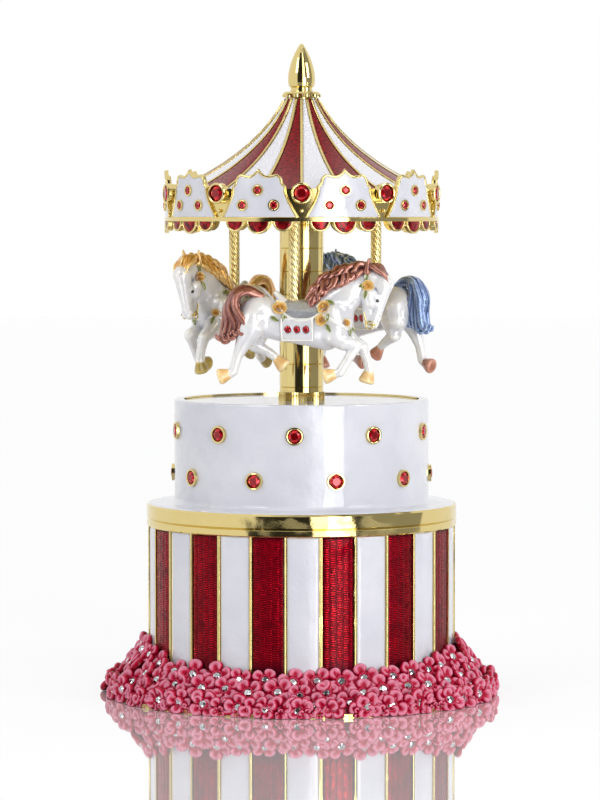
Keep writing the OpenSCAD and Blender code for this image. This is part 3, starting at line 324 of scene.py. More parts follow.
# %% Engine turning
g, given, made = new_tree("engine_turning", "ShaderNodeTree",
                          [("Columns", FLOAT, 4.5), ("Pitch", FLOAT, 0.75), ("Waver", FLOAT, 0.2)],
                          [("Cut", FLOAT), ("Column", FLOAT), ("Border", FLOAT)])
uv = g("ShaderNodeUVMap", uv_map="UVMap").outputs[0]
across, up = g("ShaderNodeSeparateXYZ", {0: uv}).outputs[:2]
drift = g.math("MULTIPLY", g.math("SUBTRACT", g.noise(uv, 1.3, 2.0), 0.5), given["Waver"])
half_count = g.math("MULTIPLY", given["Columns"], 0.5)
lane = g.math("ADD", g.math("MULTIPLY", g.math("ADD", across, 1.0), half_count), drift)
number = g.math("FLOOR", lane)
inside = g.math("SUBTRACT", lane, number)
lift = g.math("MULTIPLY", g.math("MODULO", number, 2.0), 0.5)
row = g.math("FRACT", g.math("ADD", g.math("ADD", g.math("DIVIDE", up, given["Pitch"]), lift), drift))
dash = g.fade(g.math("ABSOLUTE", g.math("SUBTRACT", row, 0.5)), 0.16, 0.36, 1, 0)
reach = g.fade(g.math("ABSOLUTE", g.math("SUBTRACT", inside, 0.5)), 0.36, 0.5, 1, 0)
g.feed(made["Cut"], g.math("MULTIPLY", dash, reach))
g.feed(made["Column"], g.fade(g.math("ABSOLUTE", g.math("SUBTRACT", inside, 0.5)), 0.1, 0.5, 1, 0))
# Border passes the strip's shade on: painted shade along the fence and the painted shadow of the flowers.
g.feed(made["Border"], g("ShaderNodeAttribute", attribute_name="shade").outputs["Fac"])
engine_turning = g.tree


# %% [markdown]
# A finish is one Principled shader. Numbers that are the same all over go straight onto its sockets; only
# what varies over the surface comes from nodes. The helper returns the material with its graph and shader,
# and a second one hooks a height into the normal.

# %% The finish helper
def finish(name, **sockets):
    material = bpy.data.materials.new(name)
    material.use_nodes = True
    graph = Graph(material.node_tree)
    bsdf = material.node_tree.nodes["Principled BSDF"]
    for label, value in sockets.items():
        graph.feed(bsdf.inputs[label.replace("_", " ")], value)
    return material, graph, bsdf


def use(graph, tree, **values):
    """A group node of the tree with its named inputs set or joined."""
    node = graph("ShaderNodeGroup", node_tree=tree)
    for label, value in values.items():
        graph.feed(node.inputs[label.replace("_", " ")], value)
    return node.outputs


def emboss(graph, bsdf, height, strength, depth_mm):
    bump = graph("ShaderNodeBump", {"Height": height, "Strength": strength, "Distance": depth_mm * MM})
    graph.feed(bsdf.inputs["Normal"], bump.outputs[0])


# %% [markdown]
# Metals. The casting is gold plated and polished; its raised lines and edges are left as cast, so they are
# rougher and darker in their pits. Inside are brass plates brushed dull, plain steel and blued spring steel.

# %% Metals
def metal(name, color, low, high, wave=90.0, grain=1400.0, share=0.15, bump=0.5, depth_mm=0.05, dark=None):
    material, g, bsdf = finish(name, Base_Color=color, Metallic=1.0)
    g.feed(bsdf.inputs["Roughness"], use(g, cloudy, Scale=wave * 1.4, Low=low, High=high)["Value"])
    height = use(g, hand_polish, Wave=wave, Grain=grain, Grain_share=share)["Height"]
    emboss(g, bsdf, height, bump, depth_mm)
    if dark:
        place = g("ShaderNodeTexCoord").outputs["Object"]
        pits = g.fade(g.noise(place, grain, 2.0), 0.35, 0.6)
        g.feed(bsdf.inputs["Base Color"], g.mix(pits, dark, color))
    return material


GOLD, DEEP_GOLD = (0.73, 0.59, 0.25), (0.28, 0.17, 0.04)
gold = metal("polished_gold", GOLD, 0.07, 0.16, wave=70, bump=0.6, depth_mm=0.18, share=0.02)
band_gold = metal("spun_gold", GOLD, 0.05, 0.12, wave=130, bump=1.0, depth_mm=0.5, share=0.02)
cast_gold = metal("cast_gold", GOLD, 0.16, 0.34, wave=500, grain=2600, share=0.5, bump=0.8, depth_mm=0.12,
                  dark=DEEP_GOLD)
line_gold = metal("line_gold", GOLD, 0.12, 0.24, wave=500, grain=2200, share=0.4, bump=0.6, depth_mm=0.08)
pole_gold = metal("pole_gold", (0.84, 0.70, 0.34), 0.2, 0.3, wave=300, share=0.1, depth_mm=0.04)
brass = metal("plate_brass", (0.70, 0.47, 0.17), 0.2, 0.34, wave=200, share=0.3, depth_mm=0.03)
steel = metal("turned_steel", (0.52, 0.52, 0.54), 0.16, 0.3, wave=300, share=0.3, depth_mm=0.02)
blued = metal("blued_spring", (0.10, 0.12, 0.22), 0.22, 0.36, wave=300, share=0.3, depth_mm=0.02)
plate = metal("base_plate_metal", (0.62, 0.50, 0.30), 0.3, 0.5, wave=260, share=0.6, depth_mm=0.05)
print("metals made")

# %% [markdown]
# White enamel is glass fired on metal: cool white, glossy, with a slow orange-peel wave. The table enamel
# and the drum's white strips share it; the roof's white has a pearly, brushed look, streaked along each
# field.

# %% White enamels
WHITE, COOL = (0.645, 0.645, 0.70), (0.58, 0.59, 0.65)
enamel, g, bsdf = finish("white_enamel", Roughness=0.3, Coat_Weight=0.8, Coat_Roughness=0.02, Coat_IOR=1.5)
place = g("ShaderNodeTexCoord").outputs["Object"]
g.feed(bsdf.inputs["Base Color"], g.mix(g.fade(g.noise(place, 60.0, 2.0), 0.35, 0.7), COOL, WHITE))
emboss(g, bsdf, use(g, hand_polish, Wave=110.0, Grain=600.0, Grain_share=0.10)["Height"], 1.0, 1.3)

pearl, g, bsdf = finish("roof_pearl", Coat_Weight=0.8, Coat_Roughness=0.04)
uv = g("ShaderNodeUVMap", uv_map="UVMap").outputs[0]
stretch = g("ShaderNodeVectorMath", {0: uv, 1: (1.1, 1.6, 1.0)}, operation="MULTIPLY").outputs[0]
strokes = g.noise(stretch, 1.6, 4.0)
g.feed(bsdf.inputs["Base Color"], g.mix(g.fade(strokes, 0.3, 0.7), (0.56, 0.56, 0.62), (0.86, 0.85, 0.88)))
g.feed(bsdf.inputs["Roughness"], g.fade(strokes, 0.3, 0.7, 0.32, 0.14))
emboss(g, bsdf, strokes, 0.5, 0.12)

# %% [markdown]
# Red enamel is glass over engine-turned metal, so it is built as a tinted mirror under a clear coat. Where
# the cuts catch the window it lights up to bright red, and elsewhere it stays the colour of wine, which is
# what gives this enamel its depth. On the roof the cuts are level strokes.

# %% Red enamels
drum_red, g, bsdf = finish("drum_red", Metallic=0.9, Specular_IOR_Level=0.05, Coat_Weight=0.07,
                           Coat_Roughness=0.015)
cut, column, painted_border_shade = use(g, engine_turning, Columns=4.6, Pitch=0.62, Waver=0.5)
place = g("ShaderNodeTexCoord").outputs["Object"]
patch = g.fade(g.noise(place, 240.0, 3.0), 0.3, 0.7)
cut = g.math("MULTIPLY", cut, g.fade(g.noise(place, 900.0, 2.0), 0.32, 0.62, 0.25, 1))
ground = g.mix(cut, (0.13, 0.001, 0.007), (0.56, 0.004, 0.014))
ground = g.mix(patch, ground, g.mix(cut, (0.08, 0.001, 0.005), (0.36, 0.003, 0.011)))
# Painted shade: the red goes near black along the fence, and low down as the painted shadow of the flowers.
g.feed(bsdf.inputs["Base Color"], g.mix(g.fade(painted_border_shade, 0.0, 1.0), (0.07, 0.001, 0.008), ground))
g.feed(bsdf.inputs["Roughness"], g.fade(cut, 0, 1, 0.46, 0.26))
emboss(g, bsdf, g.math("ADD", cut, g.math("MULTIPLY", column, 0.5)), 0.8, 0.16)

roof_red, g, bsdf = finish("roof_red", Metallic=0.85, Specular_IOR_Level=0.1, Coat_Weight=0.3,
                           Coat_Roughness=0.03)
uv = g("ShaderNodeUVMap", uv_map="UVMap").outputs[0]
stretch = g("ShaderNodeVectorMath", {0: uv, 1: (0.8, 2.6, 1.0)}, operation="MULTIPLY").outputs[0]
strokes = g.noise(stretch, 1.0, 3.0)
stretch = g("ShaderNodeVectorMath", {0: uv, 1: (1.6, 9.0, 1.0)}, operation="MULTIPLY").outputs[0]
fine = g.noise(stretch, 1.0, 2.0)
both = g.math("ADD", g.math("MULTIPLY", strokes, 0.55), g.math("MULTIPLY", fine, 0.45))
tone = g.mix(g.fade(both, 0.36, 0.66), (0.05, 0.0006, 0.002), (0.42, 0.006, 0.012))
g.feed(bsdf.inputs["Base Color"], tone)
g.feed(bsdf.inputs["Roughness"], g.fade(both, 0.3, 0.7, 0.46, 0.28))
emboss(g, bsdf, both, 0.8, 0.16)

scallop_red, g, bsdf = finish("scallop_red", Metallic=0.7, Specular_IOR_Level=0.1, Coat_Weight=0.35,
                              Coat_Roughness=0.02)
place = g("ShaderNodeTexCoord").outputs["Object"]
spots = g.fade(g.noise(place, 900.0, 3.0), 0.35, 0.65)
g.feed(bsdf.inputs["Base Color"], g.mix(spots, (0.06, 0.0008, 0.002), (0.40, 0.006, 0.012)))
g.feed(bsdf.inputs["Roughness"], g.fade(spots, 0, 1, 0.45, 0.25))
emboss(g, bsdf, spots, 0.5, 0.06)
print("enamels made")

# %% [markdown]
# Flowers, horses, hair and hooves are painted over a modelled casting. Their colour also carries painted
# shade, dark in the hollows, and painted light, pale on the crests, so one helper serves them all: three
# colours for hollow, body and crest, and the depth group does the rest. On the petals they run from crimson
# in the painted shade to pale pink in the painted light.

# %% Painted finishes
def painted(name, hollow, body, crest, mottle=0.12, scale=500.0, rough=(0.2, 0.34), coat=0.7, metallic=0.0,
            grain=1800.0, depth_mm=0.06, specular=0.5):
    material, g, bsdf = finish(name, Metallic=metallic, Coat_Weight=coat, Coat_Roughness=0.05,
                               Specular_IOR_Level=specular)
    tint = use(g, painted_depth_shade, Hollow=hollow, Body=body, Crest=crest, Mottle=mottle, Scale=scale)
    g.feed(bsdf.inputs["Base Color"], tint["Color"])
    g.feed(bsdf.inputs["Roughness"], use(g, cloudy, Scale=scale * 0.6, Low=rough[0], High=rough[1])["Value"])
    height = use(g, hand_polish, Wave=scale * 0.5, Grain=grain, Grain_share=0.3)["Height"]
    emboss(g, bsdf, height, 0.5, depth_mm)
    return material


# Each hollow colour below is painted shade and each crest colour is painted light.
petal = painted("petal_enamel", (0.20, 0.0002, 0.007), (0.46, 0.004, 0.042), (0.68, 0.23, 0.335), mottle=0.3,
                scale=900.0, rough=(0.2, 0.3), coat=0.16, specular=0.1)
skirt_red = painted("skirt_enamel", (0.12, 0.001, 0.010), (0.28, 0.002, 0.025), (0.40, 0.008, 0.05),
                    mottle=0.6, scale=420.0, rough=(0.2, 0.3), coat=0.05, depth_mm=0.2, specular=0.1)
horse_pearl = painted("horse_pearl", (0.13, 0.15, 0.22), (0.70, 0.70, 0.73), (0.92, 0.90, 0.84), mottle=0.4,
                      scale=160.0, rough=(0.12, 0.24), coat=0.9, metallic=0.12, depth_mm=0.4)
hoof_ochre = painted("hoof_ochre", (0.24, 0.085, 0.012), (0.70, 0.36, 0.09), (0.93, 0.70, 0.34),
                     scale=300.0, mottle=0.4)
hoof_olive = painted("hoof_olive", (0.07, 0.04, 0.004), (0.34, 0.22, 0.035), (0.62, 0.47, 0.13),
                     scale=300.0, mottle=0.4)
hoof_copper = painted("hoof_copper", (0.12, 0.028, 0.012), (0.33, 0.105, 0.06), (0.54, 0.24, 0.15),
                      scale=300.0, mottle=0.4)
copper_hair = painted("copper_hair", (0.030, 0.005, 0.004), (0.20, 0.050, 0.036), (0.46, 0.19, 0.135),
                      mottle=0.3, metallic=0.55, rough=(0.16, 0.28))
blue_hair = painted("blue_hair", (0.008, 0.018, 0.06), (0.06, 0.12, 0.32), (0.32, 0.44, 0.70), mottle=0.3,
                    metallic=0.55, rough=(0.16, 0.28))
golden_hair = painted("golden_hair", (0.22, 0.07, 0.008), (0.70, 0.33, 0.05), (0.92, 0.64, 0.26), mottle=0.3,
                      metallic=0.55, rough=(0.16, 0.28))
saddle_grey = painted("saddle_grey", (0.12, 0.13, 0.16), (0.46, 0.48, 0.52), (0.82, 0.83, 0.86), scale=260.0,
                      metallic=0.6)
rose = painted("rose_ochre", (0.55, 0.20, 0.015), (0.84, 0.50, 0.10), (0.95, 0.78, 0.40), scale=600.0)
leaf = painted("leaf_green", (0.03, 0.035, 0.006), (0.16, 0.20, 0.045), (0.42, 0.44, 0.16), scale=600.0)
eye_dark = painted("eye_dark", (0.004, 0.004, 0.005), (0.012, 0.011, 0.012), (0.02, 0.02, 0.022), coat=1.0)
print("painted finishes made")

# %% [markdown]
# Each crystal is faceted glass with a mirror foil behind it. Glass that refracts shows only noise at this
# size, so the foil is the better model: a tinted mirror on flat facets under a clear coat, each facet
# throwing its own piece of the studio.

# %% Crystals
def crystal(name, deep, bright, mirror):
    material, g, bsdf = finish(name, Metallic=mirror, Roughness=0.09, Specular_IOR_Level=0.2, Coat_Weight=0.6,
                               Coat_Roughness=0.01, Coat_IOR=1.6)
    # The facet shade paints light and dark onto the facets, in place of what the back facets throw.
    facet = g("ShaderNodeAttribute", attribute_name="shade").outputs["Fac"]
    g.feed(bsdf.inputs["Base Color"], g.mix(g.fade(facet, 0.0, 1.0), deep, bright))
    return material


red_crystal = crystal("red_crystal", (0.07, 0.0008, 0.002), (0.70, 0.005, 0.016), 0.55)
clear_crystal = crystal("clear_crystal", (0.16, 0.16, 0.18), (0.92, 0.92, 0.94), 1.0)
print("crystals made")

# %% [markdown]
# Drum strips. On the real box a gold wire fence divides the wall into cells, and enamel is poured into each.
# The enamel stands a little higher in the middle of a cell and pulls down at the fence, so every strip is a
# shallow pillow. A strip is a grid whose rows and columns crowd towards its edges, where the surface turns
# fastest. Its UVs run from -1 to 1 across and in millimetres up, and its shade says how near the border is,
# so that the red can be painted darker along the fence, as painted shade, and low down, as the painted
# shadow of the flowers.

# %% Enamel strips of the drum
def crowded(low, high, count):
    """Values from low to high that crowd towards both ends."""
    return low + (high - low) * (0.5 + 0.5 * np.sin(np.linspace(-np.pi / 2, np.pi / 2, count)))


LINE_GAP = math.degrees(0.40 / DRUM_R)
STRIP_RISE, SHADOW_LOW = 0.42, 10.5


def strip(start, end, rows=56, columns=15):
    theta, z = np.meshgrid(crowded(start, end, columns), crowded(STRIPE_LOW, STRIPE_TOP - 0.05, rows))
    across = (2 * theta - start - end) / (end - start)
    side = np.radians(np.minimum(theta - start, end - theta)) * DRUM_R
    gap = np.minimum(side, np.minimum(z - STRIPE_LOW, STRIPE_TOP - z))
    shoulder, crown = 1 - np.exp(-gap / 0.22), (1 - across ** 2) * (1 - np.exp(-gap / 2))
    radius = DRUM_R + 0.03 + STRIP_RISE * (0.72 * shoulder + 0.28 * crown)
    shade = np.clip(np.minimum(side / 0.75, np.minimum((z - SHADOW_LOW) / 5, (STRIPE_TOP - z) / 1.2)), 0, 1)
    points = around(radius, theta, z).reshape(-1, 3)
    return points, grid_faces(rows, columns, False), np.stack([across, z], -1).reshape(-1, 2), shade.ravel()


def gather(parts):
    """Joins parts of (points, faces, extra...) into one, with the faces renumbered."""
    start, faces = 0, []
    for part in parts:
        faces += [[int(i) + start for i in face] for face in part[1]]
        start += len(part[0])
    rest = [np.concatenate([part[k] for part in parts]) for k in range(2, len(parts[0]))]
    return [np.concatenate([part[0] for part in parts]), faces, *rest]


step = 360 / STRIPES
for first, color, material in ((0, "red", drum_red), (1, "white", enamel)):
    made = gather([strip(STRIPE_PHASE + i * step + LINE_GAP, STRIPE_PHASE + (i + 1) * step - LINE_GAP)
                   for i in range(first, STRIPES, 2)])
    piece(f"drum_{color}_strips", made[0], made[1], material, "base", f"{color}_enamel",
          [f"drum_{color}_enamel"], uv=made[2], shade=made[3])

# %% [markdown]
# Much of the box is repetition: stones, settings, beads and flowers stand in rings. The first Geometry Nodes
# tree does all of them. It takes a cloud of points that carry a turn and a size, copies one shape to each,
# and lets a seeded jitter loosen the rows where a hand would. Modifier inputs are set by their identifiers
# before the object is evaluated; the result is baked to a plain mesh, so the export finds real faces.

# %% The spreading tree
def handed_out(g, given, made, grown):
    """Ends a tree: what has grown becomes real faces, gets its finish and is handed out."""
    real = g("GeometryNodeRealizeInstances", {"Geometry": grown}).outputs[0]
    done = g("GeometryNodeSetMaterial", {"Geometry": real, "Material": given["Finish"]}).outputs[0]
    g.feed(made["Geometry"], done)
    return g.tree


g, given, made = new_tree("spread_copies", "GeometryNodeTree",
                          [("Geometry", GEOMETRY, None), ("Shape", "NodeSocketObject", None),
                           ("Finish", "NodeSocketMaterial", None), ("Size", FLOAT, 1.0),
                           ("Jitter", FLOAT, 0.0), ("Seed", "NodeSocketInt", 3)], [("Geometry", GEOMETRY)])
shape = g("GeometryNodeObjectInfo", {"Object": given["Shape"]}, transform_space="ORIGINAL")
turn = g("GeometryNodeInputNamedAttribute", {"Name": "turn"}, data_type="FLOAT_VECTOR").outputs["Attribute"]
size = g("GeometryNodeInputNamedAttribute", {"Name": "size"}, data_type="FLOAT").outputs["Attribute"]
loose = g("FunctionNodeRandomValue", {8: given["Seed"]}, data_type="FLOAT_VECTOR")
loose.inputs[0].default_value, loose.inputs[1].default_value = (-1, -1, -1), (1, 1, 1)
loose = g("ShaderNodeVectorMath", {0: loose.outputs[0]}, operation="SCALE")
g.feed(loose.inputs["Scale"], given["Jitter"])
rotation = g("FunctionNodeRotateRotation",
             {"Rotation": g("FunctionNodeEulerToRotation", {"Euler": turn}).outputs[0],
              "Rotate By": g("FunctionNodeEulerToRotation", {"Euler": loose.outputs[0]}).outputs[0]},
             rotation_space="LOCAL").outputs[0]
copies = g("GeometryNodeInstanceOnPoints",
           {"Points": given["Geometry"], "Instance": shape.outputs["Geometry"], "Rotation": rotation,
            "Scale": g.math("MULTIPLY", size, given["Size"])}).outputs[0]
spread_tree = handed_out(g, given, made, copies)


def grow(name, mesh, tree, settings, body, replaces=(), floor=None):
    """Runs a tree on a mesh, bakes it to a plain mesh and settles it; floor keeps it above a height."""
    obj = bpy.data.objects.new(name, mesh)
    scene.collection.objects.link(obj)
    modifier = obj.modifiers.new("grow", "NODES")
    modifier.node_group = tree
    for item in tree.interface.items_tree:
        if item.name in settings and item.in_out == "INPUT":
            modifier[item.identifier] = settings[item.name]
    baked = bpy.data.meshes.new_from_object(obj.evaluated_get(bpy.context.evaluated_depsgraph_get()))
    obj.modifiers.remove(modifier)
    obj.data = baked
    for label in ("turn", "size"):
        if label in baked.attributes:
            baked.attributes.remove(baked.attributes[label])
    if floor is not None:
        co = np.empty(len(baked.vertices) * 3, np.float32)
        baked.vertices.foreach_get("co", co)
        co[2::3] = np.maximum(co[2::3], floor * MM)
        baked.vertices.foreach_set("co", co)
    return settle(obj, body, replaces)


# %% [markdown]
# A place for a copy is a point, the direction that the copy faces, and a spin about that direction. With a
# direction as the shape's own Z and "up the wall" as its Y, every stone and flower comes out the right way
# up.

# %% Places for copies
def seats(points, facing, spin=0.0, size=1.0):
    """Rows of x, y, z in mm, three Euler angles and a size."""
    points, facing = np.broadcast_arrays(np.atleast_2d(points), np.atleast_2d(facing))
    spin, size = np.broadcast_to(spin, len(points)), np.broadcast_to(size, len(points))
    rows = []
    for p, n, s, k in zip(points, facing, spin, size):
        turn = Vector(n).to_track_quat("Z", "Y").to_matrix().to_3x3()
        rolled = turn @ Matrix.Rotation(math.radians(float(s)), 3, "Z")
        rows.append([*p, *rolled.to_euler(), float(k)])
    return np.array(rows)


def spread(name, shape, rows, material, body, replaces=(), jitter=0.0, floor=None, sharp=40):
    """Copies a shape (points in mm, faces, shade) to every row of seats."""
    helper = bpy.data.objects.new(name + "_shape", mesh_of(name + "_shape", shape[0], shape[1], sharp=sharp,
                                                           shade=shape[2]))
    scene.collection.objects.link(helper)
    cloud = bpy.data.meshes.new(name)
    cloud.from_pydata((rows[:, :3] * MM).tolist(), [], [])
    layer = cloud.attributes.new("turn", "FLOAT_VECTOR", "POINT")
    layer.data.foreach_set("vector", rows[:, 3:6].astype("f").ravel())
    layer = cloud.attributes.new("size", "FLOAT", "POINT")
    layer.data.foreach_set("value", rows[:, 6].astype("f"))
    obj = grow(name, cloud, spread_tree, {"Shape": helper, "Finish": material, "Size": 1.0, "Jitter": jitter,
                                          "Seed": 3}, body, replaces, floor)
    bpy.data.objects.remove(helper)
    return obj


# %% [markdown]
# A cut stone has a flat table, a crown of eight kites and eight triangles, and sixteen narrow facets down to
# its girdle. Flat shading keeps the facets crisp. The shade alternates from corner to corner, which stands
# in for the light and dark that a real stone's back facets throw through its crown.

# %% A cut stone
def ring_of(radius, z, count, turn=0.0):
    a = (np.arange(count) + turn) * TAU / count
    return np.stack([radius * np.cos(a), radius * np.sin(a), np.full(count, float(z))], -1)


def cut_stone(radius, height):
    points = np.concatenate([ring_of(0.56 * radius, height, 8), ring_of(0.80 * radius, 0.55 * height, 8, 0.5),
                             ring_of(radius, 0.12 * height, 16), ring_of(radius, -0.1, 16)])
    table_facet, back = list(range(8)), list(range(47, 31, -1))
    faces = [table_facet, back]
    for i in range(8):
        j, m, n = (i + 1) % 8, 8 + i, 8 + (i - 1) % 8
        g0, g1, g2 = 16 + 2 * i, 16 + (2 * i + 1) % 16, 16 + (2 * i + 2) % 16
        faces += [[i, m, j], [i, n, g0, m], [m, g0, g1], [m, g1, g2]]
    faces += [[16 + k, 32 + k, 32 + (k + 1) % 16, 16 + (k + 1) % 16] for k in range(16)]
    shade = np.concatenate([np.tile([1.0, 0.35], 4), np.tile([0.05, 0.8, 0.3, 0.55], 2),
                            np.tile([0.6, 0.1], 8), np.full(16, 0.1)])
    return points, faces, shade


def band(profile, steps=28, lobes=0, lobe=0.0):
    """A ring-shaped shape from a closed (r, z) profile, its outside lobed like a beaded edge."""
    p = np.array(profile, float)
    a = np.arange(steps) * TAU / steps
    radius = p[:, :1] * (1 + lobe * np.cos(lobes * a)[None] * (p[:, :1] > p[:, 0].mean()))
    points = np.stack([radius * np.cos(a), radius * np.sin(a), np.repeat(p[:, 1:], steps, 1)], -1)
    points = points.reshape(-1, 3)
    faces = grid_faces(len(p) + 1, steps, True) % (len(p) * steps)
    return points, faces, np.full(len(points), 0.6)


def roll(radius, wire, flat=1.0, sides=8, z=0.0):
    """The profile of a ring of round wire, run so that its faces look outwards."""
    a = np.arange(sides) * TAU / sides
    return np.stack([radius + wire * np.cos(a), z + wire * flat * np.sin(a)], -1)


def scaled(shape, size):
    return shape[0] * size, shape[1], shape[2]


stone = cut_stone(1.0, 0.42)
print("stone:", len(stone[1]), "facets")

# %% [markdown]
# The tier carries ten red stones in each of two rows, each in a turned tube of gold whose mouth is rolled
# over the girdle. The tubes come from CAD; what is made here are the stones and the rolled mouths.

# %% Stones of the tier
UPPER_ROW, LOWER_ROW, TIER_STONE = 73.6, 61.4, 1.93
tenth = np.arange(PANELS) * 36.0
theta = np.concatenate([tenth - 3, tenth + 15])
height = np.repeat([UPPER_ROW, LOWER_ROW], PANELS)
spread("tier_red_stones", scaled(stone, TIER_STONE),
       seats(around(TIER_R + 0.2, theta, height), outwards(theta), spin=11), red_crystal, "base",
       ["tier_crystals"], sharp=None)
spread("tier_rolled_mouths", band(roll(2.06, 0.2, 0.9)),
       seats(around(TIER_R + 0.62, theta, height), outwards(theta)), gold, "base")

# %% [markdown]
# The canopy's stones: a large one between two panels, held proud in a heavier mouth, and three small ones on
# each panel. A small bead of cast metal sits under each large stone.

# %% Stones of the canopy
LARGE_STONE, SMALL_STONE = 2.28, 1.09
small = [(0.0, 8.3), (-4.4, 4.3), (4.4, 4.3)]
spread("fascia_large_stones", scaled(stone, LARGE_STONE),
       seats(around(FASCIA_R + 0.85, tenth, STONE_Z), outwards(tenth), spin=11), red_crystal, "carousel",
       ["fascia_large_crystals"], sharp=None)
spread("fascia_large_mouths", band(roll(2.5, 0.34, 0.9), steps=32),
       seats(around(FASCIA_R + 1.42, tenth, STONE_Z), outwards(tenth)), gold, "carousel")
theta = np.concatenate([tenth + 18 + math.degrees(y / FASCIA_R) for y, z in small])
height = np.repeat([CEILING + z for y, z in small], PANELS)
spread("fascia_small_stones", scaled(stone, SMALL_STONE),
       seats(around(FASCIA_R + 0.42, theta, height), outwards(theta), spin=11), red_crystal, "carousel",
       ["fascia_small_crystals"], sharp=None)
spread("fascia_small_mouths", band(roll(1.18, 0.11, 0.9), steps=20),
       seats(around(FASCIA_R + 0.62, theta, height), outwards(theta)), gold, "carousel")
BEAD = [(0.02, -0.5), (0.3, -0.42), (0.52, -0.1), (0.52, 0.12), (0.36, 0.42), (0.02, 0.52)]
spread("fascia_beads", band(BEAD, steps=12), seats(around(FASCIA_R + 0.05, tenth, 134.0), outwards(tenth)),
       gold, "carousel")

# %% [markdown]
# Raised lines of gold run everywhere on the box: the fence between the drum's strips, the ribs of the roof
# and the rims of the panels. A soldered wire is never even, so the second tree lays a round section along
# any path, lets its thickness waver by noise, and closes its ends.

# %% The wire tree
g, given, made = new_tree("laid_wire", "GeometryNodeTree",
                          [("Geometry", GEOMETRY, None), ("Radius", FLOAT, 0.0003), ("Waver", FLOAT, 0.2),
                           ("Step", FLOAT, 0.0006), ("Sides", "NodeSocketInt", 8),
                           ("Finish", "NodeSocketMaterial", None)], [("Geometry", GEOMETRY)])
path = g("GeometryNodeMeshToCurve", {0: given["Geometry"]}).outputs[0]
path = g("GeometryNodeResampleCurve", {"Curve": path, "Length": given["Step"]}, mode="LENGTH").outputs[0]
rough = g("ShaderNodeTexNoise", {"Vector": g("GeometryNodeInputPosition").outputs[0], "Scale": 1300.0,
                                 "Detail": 1.0}).outputs[0]
thick = g.math("ADD", 1.0, g.math("MULTIPLY", g.math("SUBTRACT", rough, 0.5), given["Waver"]))
section = g("GeometryNodeCurvePrimitiveCircle", {0: given["Sides"], 4: given["Radius"]}).outputs[0]
tube = g("GeometryNodeCurveToMesh", {"Curve": path, "Profile Curve": section, "Scale": thick,
                                     "Fill Caps": True}).outputs[0]
tube = g("GeometryNodeSetShadeSmooth", {0: tube}).outputs[0]
wire_tree = handed_out(g, given, made, tube)


def wires(name, paths, radius, material, body, closed=False, waver=0.2, step=0.6, sides=8, replaces=()):
    """Round wires along rows of points in mm."""
    points, edges = [], []
    for row in paths:
        k = len(points)
        points += (np.asarray(row, float) * MM).tolist()
        last = len(row) - 1
        edges += [(k + i, k + i + 1) for i in range(last)] + ([(k + last, k)] if closed else [])
    mesh = bpy.data.meshes.new(name)
    mesh.from_pydata(points, edges, [])
    return grow(name, mesh, wire_tree, {"Radius": radius * MM, "Waver": waver, "Step": step * MM,
                                        "Sides": sides, "Finish": material}, body, replaces)


# %% [markdown]
# The drum's fence is one such wire on every border between two cells, sunk a little into the wall.

# %% The drum's raised lines
upright = np.linspace(STRIPE_LOW, STRIPE_TOP + 0.05, 40)
wires("drum_raised_lines", [around(LINE_R - 0.22, STRIPE_PHASE + i * step, upright) for i in range(STRIPES)],
      0.34, line_gold, "base", waver=0.4)

# %% [markdown]
# The panels of the canopy are crowns cut from sheet, each with a raised rim round a pillow of white enamel.
# The outline is the one that the CAD solid has, drawn by the same rule at different insets: one inset gives
# the rim wire its path, and a stair of growing insets gives the enamel its rounded shoulder.

# %% Panel outline
PEAK_H = 14.0


def bow(a, b, c, count):
    t = np.arange(1, count + 1)[:, None] / count
    return (1 - t) ** 2 * np.array(a) + 2 * t * (1 - t) * np.array(b) + t * t * np.array(c)


def panel_outline(i, fine=2):
    """The crown panel as (across, up) in mm from its foot's middle, i inside its edge."""
    peak, dip, crest = (0, PEAK_H - 1.6 * i), (2.3, PEAK_H - 1.9 - i), (5.1 - 0.2 * i, PEAK_H - 1.4 - i)
    turn, ear = (6.6 - i, PEAK_H - 3.7 - 0.4 * i), (7.65 - i, PEAK_H - 4.8 - 0.3 * i)
    waist = (7.5 - i, PEAK_H - 6.2)
    half = np.concatenate([
        [peak], bow(peak, (0.9, PEAK_H - 1.5 - i), dip, 3 * fine),
        bow(dip, (3.7, PEAK_H - 1.9 - i), crest, 2 * fine),
        bow(crest, (6.6 - i, PEAK_H - 2.1 - i), turn, 3 * fine),
        bow(turn, (6.9 - i, PEAK_H - 4.4 - 0.4 * i), ear, fine),
        bow(ear, (7.3 - i, PEAK_H - 5.5), waist, 2 * fine),
        bow(waist, (8.2 - i, PEAK_H - 8.8), (11 - 1.3 * i, 0.8 + 0.3 * i), 4 * fine)])
    foot = half[-1] * np.stack([np.linspace(1, 0, 9)[1:-1], np.ones(7)], -1)
    half = np.concatenate([half, foot, [(0, half[-1, 1])]])
    return np.concatenate([half, half[-2:0:-1] * (-1, 1)])


def on_fascia(flat, theta, lift=0.0):
    """Wraps (across, up) onto the canopy's cylinder round an angle."""
    return around(FASCIA_R + lift, theta + np.degrees(flat[:, 0] / FASCIA_R), CEILING + flat[:, 1])


wires("panel_rims", [on_fascia(panel_outline(0.27), t + 18, 0.1) for t in tenth], 0.36, gold, "carousel",
      closed=True, waver=0.15, step=0.5)

# %% [markdown]
# To close the pillow's middle, the last ring of points shrinks onto a short spine up the panel, so that the
# faces stay long quads instead of a fan that would pinch the reflections.

